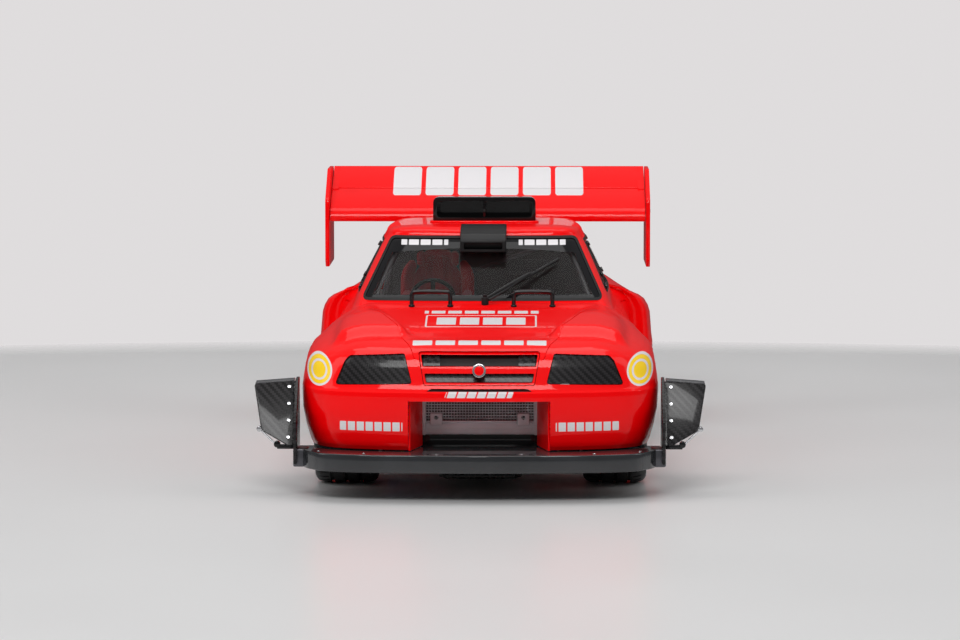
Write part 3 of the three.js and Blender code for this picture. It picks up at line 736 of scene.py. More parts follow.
# rows: inset at the sides, inset at the nose, then a height, or a drop below the deck
hullRows = [
    (4.6, 4.4, 26, None), (3.6, 2.6, 28.5, None), (1.6, 0.9, 36, None), (0.2, 0.1, 45, None),
    (0.1, 0.0, 54, None),
    (0.2, 0.2, 56.3, None), (0.5, 1.7, 57.8, None), (1.0, 2.9, 61, None), (2.0, 4.2, None, 13.0),
    (3.2, 5.4, None, 9.0), (5.4, 7.4, None, 5.2), (8.6, 10.2, None, 2.8), (12.6, 13.4, None, 1.3),
    (18.0, 17.0, None, 0.5), (26.0, 24.0, None, 0.0),
]


def hullRings(inset):
    rows = []
    for a, b in zip(hullRows, hullRows[1:]):
        for s in range(3):
            rows.append((a, b, s / 3))
    rows.append((hullRows[-1], hullRows[-1], 0.0))
    rings = []
    middleY = (h["noseY"] + h["tailY"]) / 2
    halfLong = (h["tailY"] - h["noseY"]) / 2

    def ring(sideInset, noseInset, height):
        points = []
        for x, y in hullPlan:
            nose = 1 - smooth(y, h["noseY"] + 12, h["noseY"] + 46)
            across = sideInset + (noseInset - sideInset) * nose
            px = x * (1 - (sideInset + inset) / h["frontHalf"])
            py = middleY + (y - middleY) * (1 - (across + inset) / halfLong)
            points.append((px, py, height(px, py)))
        return points

    def rowHeight(row, x, y):
        return row[2] if row[2] is not None else deckHeight(x, y) - row[3] - inset

    for a, b, t in rows:
        rings.append(ring(a[0] + (b[0] - a[0]) * t, a[1] + (b[1] - a[1]) * t,
                          lambda x, y: rowHeight(a, x, y) * (1 - t) + rowHeight(b, x, y) * t))
    last = hullRows[-1]
    steps = 38
    for i in range(1, steps + 1):
        across = last[0] + (h["frontHalf"] - inset - last[0]) * i / steps
        nose = across - (last[0] - last[1]) * (1 - i / steps)
        rings.append(ring(across, nose, lambda x, y: deckHeight(x, y) - inset))
    return rings


def loft(name, rings, bottom=True, top=False):
    count = len(rings[0])
    faces = []
    for k in range(len(rings) - 1):
        for i in range(count):
            j = (i + 1) % count
            faces.append((k * count + i, k * count + j, (k + 1) * count + j, (k + 1) * count + i))
    if bottom:
        faces.append(tuple(reversed(range(count))))
    if top:
        faces.append(tuple(range((len(rings) - 1) * count, len(rings) * count)))
    piece = meshPiece(name, [p for r in rings for p in r], faces)
    edit(piece)
    bpy.ops.mesh.remove_doubles(threshold=0.00004)
    bpy.ops.mesh.dissolve_degenerate(threshold=0.00002)
    done()
    return outward(piece)


cabinBase = closedPlan([(0, -96), (40, -94.5), (64, -90), (71, -82), (73, -55), (74, 10), (71, 80),
    (66, 118), (40, 128), (0, 130)], 12)
cabinRoof = closedPlan([(0, -30), (34, -29), (48, -26), (53, -19), (55, -5), (56, 20), (54, 48), (50, 62),
    (34, 69), (0, 70)], 12)


def cabinRings(inset, bottomZ=84.0):
    c = cabinShape

    def ring(fraction, shrink, z):
        points = []
        for (bx, by), (rx, ry) in zip(cabinBase, cabinRoof):
            x, y = bx + (rx - bx) * fraction, by + (ry - by) * fraction
            reach = math.hypot(x, y - c["centreY"])
            scale = max(0.0, 1 - shrink / reach)
            points.append((x * scale, c["centreY"] + (y - c["centreY"]) * scale, z))
        return points

    rings = []
    walls = 12
    for i in range(walls + 1):
        z = bottomZ + (c["eaveZ"] - bottomZ) * i / walls
        fraction = (z - c["beltZ"]) / (c["eaveZ"] - c["beltZ"])
        bow = c["sideBow"] * math.sin(math.pi * min(max(fraction, 0), 1))
        rings.append(ring(fraction, inset - bow, z))
    for shrink, z in c["eave"]:
        rings.append(ring(1, inset + shrink, z - inset))
    top = c["roofZ"] - inset
    for keep in (0.5, 0.3, 0.15, 0.02):
        rings.append([(x * keep, c["centreY"] + (y - c["centreY"]) * keep, top) for x, y, z in rings[-1]])
    return rings


def rounded(points, radius, steps=5):
    # a closed outline with each corner turned by an arc
    outline = []
    count = len(points)
    for i in range(count):
        p, a, b = Vector(points[i]), Vector(points[i - 1]), Vector(points[(i + 1) % count])
        r = radius[i] if isinstance(radius, (list, tuple)) else radius
        u, v = (a - p).normalized(), (b - p).normalized()
        half = math.acos(max(-1, min(1, u.dot(v)))) / 2
        back = min(r / math.tan(half), (a - p).length * 0.45, (b - p).length * 0.45)
        start, end = p + u * back, p + v * back
        for s in range(steps + 1):
            t = s / steps
            outline.append(tuple(start * (1 - t) ** 2 + p * 2 * t * (1 - t) + end * t ** 2))
    return outline


def mirroredOutline(half):
    return [*half, *[(-x, z) for x, z in reversed(half)]]


screenOutline = rounded(mirroredOutline([(66.4, 94.2), (51.6, 125.2)]), (2, 4, 4, 2))
sideOutline = rounded([(-60, 96.6), (60, 96.6), (50, 122.6), (-14, 122.6)], (2, 3, 4, 3))
rearOutline = rounded(mirroredOutline([(56, 100), (43, 120)]), 4)
lampOutline = rounded([(35.0, 60.8), (75.8, 59.6), (70.6, 72.0), (68.0, 74.9), (39.0, 76.2)],
    (1.4, 1.6, 3, 3, 1.4))
grilleOutline = rounded(mirroredOutline([(29.0, 60.0), (32.0, 77.4)]), 1.6)


def noseCutter(name, outline):
    return plate(name, outline, "Y", -240, -185, 0)


def skinPiece(name, rings, innerRings, cutter):
    # the stretch of a skin, between two lofts, that a cutter holds
    outer = loft(name, rings)
    inner = loft("inner", innerRings)
    cut(outer, inner)
    return cut(outer, cutter, "INTERSECT")


def buildShell():
    shell = loft("shell", hullRings(0))
    cut(shell, loft("cabinOuter", cabinRings(0), True, True), "UNION")
    pick(shell, lambda c, n: n.z < -0.98 and c.z < 0.0265)
    bpy.ops.mesh.delete(type="FACE")
    done()
    modify(shell, "SOLIDIFY", thickness=h["wall"] * mm, offset=-1, use_even_offset=False)
    cutters = [
        plate("cutScreen", screenOutline, "Y", -120, -12, 0),
        plate("cutRear", rearOutline, "Y", 74, 150, 0),
        plate("cutIntake", [(-37, 20), (37, 20), (37, 52), (-37, 52)], "Y", -240, -195, 0),
        noseCutter("cutGrille", grilleOutline),
    ]
    for side in (1, -1):
        low, high = span(side, 46, 100)
        cutters.append(plate("cutSide", sideOutline, "X", low, high, 0))
        low, high = span(side, 50, 115)
        for y in (h["frontAxle"], h["rearAxle"]):
            arch = [(y + h["arch"] * math.cos(a), h["axleZ"] + h["arch"] * math.sin(a))
                    for a in [math.pi * i / 36 for i in range(37)]]
            cutters.append(plate("cutArch", [*arch, (y - h["arch"], 10), (y + h["arch"], 10)], "X", low,
                high, 0))
        cutters.append(noseCutter("cutLamp", [(side * x, z) for x, z in lampOutline]))
    for cutter in cutters:
        cut(shell, cutter)
    return shell


shell = buildShell()
dress(shell, "body", "red_paint", paintHull, replaces=("body_shell",), smooth=32)
print("shell", len(shell.data.polygons))


front = {
    "ductHalf": 37.0, "ductRearHalf": 31.0, "ductTop": 52.0, "ductRear": -190.0,
    "meshPitch": 1.5, "meshWire": 0.22, "badge": 5.0,
}


def grown(outline, amount):
    # an outline pushed out (or in, with a negative amount) along its corner bisectors
    points = [Vector(p) for p in outline]
    count = len(points)
    area = sum(points[i - 1].x * points[i].y - points[i].x * points[i - 1].y for i in range(count))
    turn = 1 if area > 0 else -1
    result = []
    for i, p in enumerate(points):
        a = (p - points[i - 1]).normalized()
        b = (points[(i + 1) % count] - p).normalized()
        n = Vector((a.y + b.y, -a.x - b.x)) * turn
        n = n.normalized() / max(0.5, math.sqrt(max(0.01, (1 + a.dot(b)) / 2)))
        result.append((p.x + n.x * amount, p.y + n.y * amount))
    return result


def mirroredX(outline):
    return [(-x, z) for x, z in outline]


def bolts(name, body, places, radius=1.0, height=0.7, finish=None, slot="steel"):
    # button heads at (position, normal) places
    heads = scatter(name, boltHead(radius, height), [facing(p, n) for p, n in places])
    return dress(heads, body, slot, finish or steelBright, smooth=30)


def surfaceSpot(piece, start, direction):
    # where a ray meets a piece, in millimetres, with the normal there
    hit, spot, normal, face = piece.ray_cast(Vector(start) * mm, Vector(direction))
    return (spot / mm, normal) if hit else (Vector(start), Vector(direction))


def cabinPane(name, outline, axis, low, high, finish, node):
    pane = loft(name, cabinRings(0.35), True, True)
    cut(pane, loft("inner", cabinRings(1.5), True, True))
    cut(pane, plate("hold", grown(outline, -0.3), axis, low, high, 0), "INTERSECT")
    return dress(pane, "body", "glass", finish, replaces=(node,), smooth=30)


def cabinSeal(name, outline, axis, low, high, width=1.3):
    # a dark seal round an opening, standing just proud of the skin
    ring = loft(name, cabinRings(-0.3), True, True)
    cut(ring, loft("inner", cabinRings(0.3), True, True))
    frame = plate("hold", grown(outline, width * 0.5), axis, low, high, 0)
    cut(frame, plate("hole", grown(outline, -width * 0.5), axis, low - 1, high + 1, 0))
    cut(ring, frame, "INTERSECT")
    return dress(ring, "body", "black_plastic", sealRubber, smooth=30)


cabinPane("windscreenPane", screenOutline, "Y", -120, -12, glassScreen, "windscreen")
cabinPane("rearPane", rearOutline, "Y", 74, 150, glassSide, "rear_window")
cabinSeal("windscreenSeal", screenOutline, "Y", -120, -12)
cabinSeal("rearSeal", rearOutline, "Y", 74, 150)
for sideName, side in (("right", 1), ("left", -1)):
    low, high = span(side, 46, 100)
    cabinPane("sidePane" + sideName, sideOutline, "X", low, high, glassSide, "side_window_" + sideName)
    cabinSeal("sideSeal" + sideName, sideOutline, "X", low, high)
    foot = surfaceSpot(bpy.data.objects["sidePane" + sideName], (side * 120, -12, 98.5), (-side, 0, 0))[0]
    head = surfaceSpot(bpy.data.objects["sidePane" + sideName], (side * 120, -12, 121), (-side, 0, 0))[0]
    rail = tube("slider" + sideName, [foot, head], 0.8, 8, False, False)
    dress(rail, "body", "black_plastic", sealRubber)
    pane = bpy.data.objects["sidePane" + sideName]
    knobs = [surfaceSpot(pane, (side * 120, y, z), (-side, 0, 0)) for y,
        z in ((-33, 104), (-48, 98.2), (55, 100), (-8, 119.6), (46, 119.6))]
    bolts("windowPins" + sideName, "body", knobs, 1.5, 1.5, blackGloss, "black_plastic")
print("windows")


def hullSkin(name, outside, inside_, cutter):
    return skinPiece(name, hullRings(outside), hullRings(inside_), cutter)


for sideName, side in (("right", 1), ("left", -1)):
    outline = lampOutline if side > 0 else mirroredX(lampOutline)
    cover = hullSkin("lampCover" + sideName, 0.5, 1.9, noseCutter("hold", grown(outline, -0.35)))
    dress(cover, "body", "carbon", twillXZ, replaces=("headlight_cover_" + sideName,), smooth=30)

bars = hullSkin("grilleFace", 0.9, 3.2, noseCutter("hold", grown(grilleOutline, -0.3)))
slots = [
    rounded([(-29.5, 69.6), (29.5, 69.6), (30.6, 75.6), (-30.6, 75.6)], 0.8),
    rounded([(-27.6, 61.4), (27.6, 61.4), (28.8, 66.2), (-28.8, 66.2)], 0.8),
]
for outline in slots:
    cut(bars, plate("slot", outline, "Y", -240, -185, 0))
dress(bars, "body", "red_paint", paintPlain, replaces=("grille",), smooth=30)
# a near-black sheet behind the grille slots: painted shade standing in for the dark inside of the nose
backing = hullSkin("grilleBack", 3.5, 4.3, noseCutter("hold", grown(grilleOutline, -0.4)))
dress(backing, "body", "black_plastic", darkInside, smooth=30)
weave = hullSkin("grilleLower", 2.6, 3.4, noseCutter("hold", grown(slots[1], -0.25)))
dress(weave, "body", "carbon", twillXZ, smooth=30)
for side in (1, -1):
    low, high = span(side, 20.5, 29.2)
    end = hullSkin("grilleEnd", 1.9, 3.4, plate("hold",
        [(low, 70.0), (high, 70.0), (high, 75.2), (low, 75.2)], "Y", -240, -185, 0))
    dress(end, "body", "carbon", twillXZ, smooth=30)
lean = (0, -1, 0.18)
ring = cylinder("badgeRing", (0, 0, 0), (0, 0, 0.7), front["badge"] * 0.72, 40, 0.15)
cut(ring, cylinder("hole", (0, 0, 0.3), (0, 0, 3), front["badge"] * 0.56, 40, 0))
dress(scatter("badge", ring, [facing((0, -218.6, 67.9), lean)]), "body", "steel", steelBright)
disc = cylinder("badgeDisc", (0, 0, 0.1), (0, 0, 0.55), front["badge"] * 0.5, 40, 0.1)
dress(scatter("badgeDisc", disc, [facing((0, -218.6, 67.9), lean)]), "body", "red_paint", paintPlain)


def ductWall(name, corners, thick):
    # one flat wall between the skin and the cooler
    inner = [Vector(c) for c in corners]
    normal = (inner[1] - inner[0]).cross(inner[2] - inner[0]).normalized() * thick
    points = [*inner, *[c + normal for c in inner]]
    faces = [(0, 1, 2, 3), (7, 6, 5, 4), (0, 4, 5, 1), (1, 5, 6, 2), (2, 6, 7, 3), (3, 7, 4, 0)]
    return outward(meshPiece(name, points, faces))


f = front
halfFront, halfRear, topZ = f["ductHalf"] - 0.05, f["ductRearHalf"] + 0.2, f["ductTop"]
noseLine = -216.5
walls = [ductWall("ductRoof", [(-halfFront, noseLine, topZ), (halfFront, noseLine, topZ),
    (halfRear, f["ductRear"], topZ - 2),
                              (-halfRear, f["ductRear"], topZ - 2)], 1.0)]
for side in (1, -1):
    walls.append(ductWall("ductSide", [(side * halfFront, noseLine, 25.6),
        (side * halfFront, noseLine, topZ),
                                       (side * halfRear, f["ductRear"], topZ - 2),
                                       (side * halfRear, f["ductRear"], 25.6)], 1.0 * side))
dress(bevel(join("duct", walls), 0.15, 1), "body", "red_paint", paintPlain, smooth=0)
tank = block("coolerTank", (-30.4, -189.2, 30.7), (30.4, -176.4, 38.0), 1.6, 4)
seam = block("coolerSeam", (-30.5, -189.5, 34.1), (30.5, -189.0, 34.6), 0.1, 1)
lips = [block("coolerLip", (-30.5, -189.6, 37.6), (30.5, -177, 38.5), 0.3, 2)]
for x in (-23, 23):
    tab = block("tab", (x - 3.2, -190.6, 36.2), (x + 3.2, -189.4, 42.6), 0.5, 2)
    cut(tab, cylinder("hole", (x, -192, 40.4), (x, -187, 40.4), 1.1, 20, 0))
    lips.append(tab)
for x in (-29.6, 29.6):
    lips.append(block("bracket", (x - 1.0, -190.4, 31.0), (x + 1.0, -176.5, 49.2), 0.4, 2))
lips.append(block("coolerTop", (-30.4, -189.8, 48.4), (30.4, -177, 49.4), 0.3, 2))
dress(join("cooler", [tank, seam, *lips]), "body", "aluminium", coolerTank, replaces=("intercooler",))
fins = [block("fin", (x - 0.12, -187.4, 38.4), (x + 0.12, -178.5, 48.4), 0, 1)
    for x in [-28 + 1.4 * i for i in range(41)]]
rows = [block("row", (-28.4, -187.0, z), (28.4, -178.8, z + 0.7), 0, 1) for z in (40.4, 43.0, 45.6)]
dress(join("coolerCore", [*fins, *rows, block("coreBack", (-28.4, -178.6, 38.4), (28.4, -177.6, 48.4), 0)]),
    "body", "aluminium", steelDark, smooth=0)
dress(block("ductFloor", (-31, -190, 24.9), (31, -186.8, 31.2), 0.4, 2), "body", "black_plastic",
    blackGloss)
wires = []
count = int(57 / f["meshPitch"])
for i in range(count + 1):
    x = -28.5 + 57 * i / count
    wires.append(cylinder("wire", (x, -189.1, 38.2), (x, -189.1, 48.7), f["meshWire"], 6, 0))
for i in range(8):
    z = 38.4 + 10.2 * i / 7
    wires.append(cylinder("wire", (-28.8, -188.7, z), (28.8, -188.7, z), f["meshWire"], 6, 0))
dress(join("coolerMesh", wires), "body", "aluminium", aluminium, smooth=60)
print("nose")


# grooves and vents are cut into the finished skin
def cutLines():
    skin = loft("grooves", hullRings(-0.4))
    cut(skin, loft("inner", hullRings(0.55)))
    frames = []

    def ring(outline, axis, low, high, width=0.55):
        whole = plate("ring", grown(outline, width / 2), axis, low, high, 0)
        frames.append(cut(whole, plate("hole", grown(outline, -width / 2), axis, low - 1, high + 1, 0)))

    door = rounded([(-62, 29.5), (54, 29.5), (60, 82), (-58, 84)], (6, 6, 3, 5))
    bonnet = rounded([(-34, -214), (34, -214), (66, -102), (-66, -102)], (3, 3, 5, 5))
    boot = rounded([(-58, 136), (58, 136), (62, 200), (-62, 200)], 4)
    ring(bonnet, "Z", 73, 110)
    ring(boot, "Z", 84, 110)
    for side in (1, -1):
        low, high = span(side, 60, 110)
        ring(door, "X", low, high)
        ring(rounded([(146, 66), (164, 66), (164, 80), (146, 80)], 2), "X", low, high, 0.5)
    whole = join("lines", frames)
    cut(skin, whole, "INTERSECT")
    cut(shell, skin)


cutLines()
vents = []
for side in (1, -1):
    low, high = span(side, 60, 110)
    vents.append(plate("vent", rounded([(-96, 60), (-78, 58), (-74, 76), (-90, 77)], 2.5), "X", low, high,
        0))
    vents.append(plate("tail", rounded([(side * 40, 62), (side * 84, 62), (side * 82, 75), (side * 40, 77)],
        2), "Y", 188, 240, 0))
vents.append(plate("tail", [(-36, 20), (36, 20), (31, 40), (-31, 40)], "Y", 188, 240, 0))
vents.append(plate("noseSlot", rounded([(-28, 57.0), (28, 57.0), (25, 58.5), (-25, 58.5)], 0.5), "Y", -240,
    -200, 0))
for vent in vents:
    cut(shell, vent)


def behind(name, outline, axis, low, high, outside, inside_, look, slot):
    # a sheet under the skin that closes an opening
    sheet = hullSkin(name, outside, inside_, plate("hold", outline, axis, low, high, 0))
    return dress(sheet, "body", slot, look, smooth=30)


# a near-black sheet just behind the nose slot: painted shade standing in for the dark inside of the bumper
behind("noseSlotBack", [(-30, 56.4), (30, 56.4), (30, 59.1), (-30, 59.1)], "Y", -240, -200, 1.7, 2.4,
    darkInside, "black_plastic")
for sideName, side in (("Right", 1), ("Left", -1)):
    low, high = span(side, 60, 110)
    # a near-black sheet just behind each side vent: painted shade standing in for the dark wheel well
    # behind it
    behind("ventFront" + sideName, [(-98, 56), (-75, 56), (-72, 79), (-92, 79)], "X", low, high, 2.4, 3.0,
        darkInside, "black_plastic")
    lamp = [(side * x, z) for x, z in rounded([(40.3, 62.3), (83.6, 62.3), (81.7, 74.7), (40.3, 76.7)],
        1.8)]
    behind("tailLamp" + sideName, lamp, "Y", 188, 240, 0.6, 1.3, lampRed, "glass")
    behind("tailBowl" + sideName, [(side * x, z) for x, z in ((39, 61), (85, 61), (83, 76), (39, 78))], "Y",
        188, 240, 2.4, 3.0, labelPale, "black_plastic")
    for x in (50, 64, 76):
        ringLamp = spun("lampRing", [(0, 3.4), (0, 4.6), (0.9, 4.2), (0.9, 3.8)], 40)
        ringLamp.data.transform(facing((side * x, 205.0 if x < 70 else 203.0, 69),
            (0, 1, 0)) @ Matrix.Rotation(-math.pi / 2, 4, "Y"))
        dress(ringLamp, "body", "steel", steelBright)
diffuser = [block("diffuserFloor", (-33, 178, 36.6), (33, 205.5, 38.4), 0.4, 2)]
for x in (-30, -18, -6, 6, 18, 30):
    diffuser.append(block("diffuserFin", (x - 0.8, 179, 25.6), (x + 0.8, 205, 37.2), 0.3, 2))
dress(join("diffuser", diffuser), "body", "carbon", twillYZ)
pipe = spun("exhaust", [(0, 4.2), (0, 5.2), (16, 5.2), (16, 4.2)], 48)
pipe.data.transform(Matrix.Translation(Vector((-24, 190, 31)) * mm) @ Matrix.Rotation(math.pi / 2, 4, "Z"))
dress(pipe, "body", "steel", steelBright)
print("lines and vents")


aero = {
    "lipLow": 15.8, "lipHigh": 25.2, "plateThick": 3.4, "rearY": -187.0,
    "fenceX": 96.0, "fenceThick": 1.6, "wingHalf": 96.4, "endPlateThick": 2.4,
}


def splitterLine(inset, steps=10):
    right = throughPoints([(0, -235), (50, -232), (78, -225.5), (89, -214.5), (93.6, -203)], steps)
    right[0].x = 0
    side = [(p.x, p.y) for p in right] + [(95.7, aero["rearY"])]
    return grown([*side, *[(-x, y) for x, y in reversed(side[1:])]], -inset)


def buildSplitter():
    a = aero
    whole = plate("splitter", splitterLine(0), "Z", a["lipLow"], a["lipHigh"], 0.7, 3)
    under = plate("under", [(x * 0.94, y + 6) for x, y in splitterLine(0)], "Z", 5,
        a["lipHigh"] - a["plateThick"], 0)
    cut(whole, under)
    dress(whole, "body", "carbon", splitterGloss, replaces=("front_splitter",), smooth=30)
    edge = [((x, y + 2.2, a["lipHigh"] - 0.05), (0, 0, 1)) for x, y in
            [(-84, -217), (-60, -228.6), (-22, -232.0), (22, -232.0), (60, -228.6), (84, -217)]]
    bolts("splitterBolts", "body", edge, 0.9, 0.5)


splitterGloss = mouldedPlastic("splitterGloss", (0.020, 0.021, 0.023), 0.16, 600.0, 0.6)
edgeGloss = mouldedPlastic("edgeGloss", (0.05, 0.05, 0.055), 0.18, 600.0, 0.8)
buildSplitter()


def divePlate(name, side):
    a = aero
    low, high = span(side, a["fenceX"], a["fenceX"] + a["fenceThick"])
    outline = rounded([(-208.8, 17.2), (-172.2, 17.2), (-172.2, 60.3), (-186, 60.3), (-208.8, 40)], 1.5)
    fence = plate("fence" + name, outline, "X", low, high, 0.3, 2)
    dress(fence, "body", "carbon", twillYZ, replaces=("splitter_fence_" + name,), smooth=30)
    inner = a["fenceX"] + a["fenceThick"] + 0.3
    face = rounded([(inner, 24.0), (inner + 17.6, 33.6), (inner + 21.9, 57.2), (inner, 58.8)],
        (1, 2, 1.5, 1))
    panel = plate("panel" + name, [(side * x, z) for x, z in face], "Y", -1.6, 0, 0.25, 2)
    shear = Matrix.Identity(4)
    shear[1][2] = 0.5
    panel.data.transform(Matrix.Translation((0, -0.2069, 0)) @ shear)
    lipLine = [(inner + 0.6, 58.6), (inner + 21.3, 57.1)]
    lipSection = [(-1.5, -0.7), (-1.5, 0.5), (7.5, 0.9), (7.5, -0.2)]
    points = [(side * x, -206.9 + z * 0.5 + dy, z + dz) for dy, dz in lipSection for x, z in lipLine]
    lip = meshPiece("lip", points, [(0, 1, 3, 2), (2, 3, 5, 4), (4, 5, 7, 6), (6, 7, 1, 0), (0, 2, 4, 6),
                                    (1, 7, 5, 3)])
    outward(lip)
    bevel(lip, 0.3, 2)
    foldSection = [(-0.1, -1.6), (-0.1, 7.0), (1.1, 7.0), (1.1, -1.6)]
    points = [(side * (inner + dx), -206.9 + z * 0.5 + dy, z) for z in (26.0, 57.8) for dx,
        dy in foldSection]
    flange = meshPiece("flange", points, [(0, 1, 2, 3), (7, 6, 5, 4), (0, 4, 5, 1), (1, 5, 6, 2),
        (2, 6, 7, 3),
                                          (3, 7, 4, 0)])
    outward(flange)
    bevel(flange, 0.2, 1)
    dress(lip, "body", "black_plastic", edgeGloss, smooth=30)
    dress(join("dive" + name, [panel, flange]), "body", "carbon", twillXZ, replaces=("dive_plate_" + name,),
        smooth=30)
    spots = []
    for z in (30, 38.5, 47, 55.5):
        spots.append(((side * (inner + 3.2), -208.5 + z * 0.5, z), (0, -1, 0.5)))
    bolts("diveBolts" + name, "body", spots, 0.95, 0.6)
    stay = tube("stay" + name, [(side * (inner + 18.5), -192.2, 34.5),
        (side * (inner + 9.5), -194.5, 26.2)], 0.6, 8, False, False)
    clamp = cylinder("clamp", (side * (inner + 9.0), -196.6, 26.6), (side * (inner + 9.0), -192.0, 26.6),
        1.7, 20, 0.4)
    foot = sideBlock("foot", side, (inner, inner + 9), (-196.5, -192), (24.2, 26.4), 0.4)
    eye = cylinder("eye", (side * (inner + 18.5), -194.4, 34.5), (side * (inner + 18.5), -190.6, 34.5), 1.4,
        20, 0.3)
    dress(join("stays" + name, [stay, eye]), "body", "steel", steelBright)
    dress(join("clamps" + name, [clamp, foot]), "body", "black_plastic", blackGloss)
    bracket = sideBlock("bracket", side, (89.5, 97.9), (-206, -190), (15.9, 25.3), 0.8)
    dress(bracket, "body", "aluminium", steelDark)


for sideName, side in (("right", 1), ("left", -1)):
    divePlate(sideName, side)


def wingSection(points, steps=6):
    return [(p.x, p.y) for p in throughPoints(points, steps)]


def buildWing():
    half = aero["wingHalf"] - 0.1
    mainTop = wingSection([(175.1, 123.6), (177.4, 127.4), (184, 131.0), (194, 135.2), (205.2, 139.0)])
    mainLow = wingSection([(205.2, 137.6), (196, 131.9), (186, 126.0), (179, 121.0), (175.6, 120.8),
        (175.1, 123.6)])
    main = plate("wingMain", mainTop + mainLow[:-1], "X", -half, half, 0.15, 1)
    dress(main, "body", "red_paint", paintWing, replaces=("wing_main",), smooth=40)
    flapTop = wingSection([(205.9, 139.4), (212, 142.7), (222, 147.2), (233.6, 151.5)])
    flapLow = wingSection([(234.6, 150.6), (226, 145.4), (215, 139.6), (207.5, 136.4), (205.9, 137.0)])
    flap = plate("wingFlap", flapTop + flapLow, "X", -half, half, 0.15, 1)
    dress(flap, "body", "red_paint", paintWing, replaces=("wing_flap",), smooth=40)
    spots = []
    for sideName, side in (("right", 1), ("left", -1)):
        inner = aero["wingHalf"] + 0.3
        low, high = span(side, inner, inner + aero["endPlateThick"])
        outline = rounded([(169.2, 97), (173.4, 92.9), (234.8, 92.9), (234.8, 151.5), (201, 151.5),
            (169.2, 134)], (2, 2, 3, 3, 4, 4))
        end = plate("endPlate" + sideName, outline, "X", low, high, 0.4, 2)
        dress(end, "body", "red_paint", paintPlain, replaces=("wing_end_plate_" + sideName,), smooth=30)
        for y, z in ((181, 126.5), (198, 134.0), (212, 140.6), (228, 147.4)):
            spots.append(((side * (inner + aero["endPlateThick"] - 0.05), y, z), (side, 0, 0)))
        corners = []
        for y, topZ, footZ in ((203, 139.0, 134.5), (232, 151.3, 146.5)):
            corners += [(side * half, y, topZ), (side * (half - 4.0), y, topZ), (side * half, y, footZ)]
        gusset = meshPiece("gusset", corners, [(0, 1, 2), (3, 5, 4), (0, 3, 4, 1), (1, 4, 5, 2),
            (2, 5, 3, 0)])
        dress(outward(gusset), "body", "red_paint", paintPlain, smooth=20)
    bolts("wingBolts", "body", spots, 1.2, 0.45)
    stand = []
    for side in (1, -1):
        low, high = span(side, 44, 46.4)
        pylon = plate("pylon", rounded([(168.4, 93.0), (199.6, 93.0), (203.4, 134.6), (196, 131.0),
            (184.5, 124.6)], (3, 3, 1, 1, 2)), "X", low, high, 0.3, 2)
        for y, z, r in ((183, 103, 4.2), (188.5, 113.5, 3.6), (192.5, 122.5, 2.6)):
            cut(pylon, cylinder("hole", (side * 40, y, z), (side * 50, y, z), r, 32, 0))
        stand.append(pylon)
        stand.append(sideBlock("foot", side, (38, 52), (171, 197), (92.8, 94.6)))
    stand.append(block("standBar", (-48, 178.2, 92.9), (48, 191.8, 95.1), 0.5, 2))
    dress(join("wingStand", stand), "body", "carbon", twillYZ, replaces=("wing_stand",), smooth=30)
    feet = [((side * x, y, 94.6), (0, 0, 1)) for side in (1, -1) for x in (40.8, 49.6) for y in (174, 194)]
    bolts("standBolts", "body", feet, 1.1, 0.7)


buildWing()
print("aero")


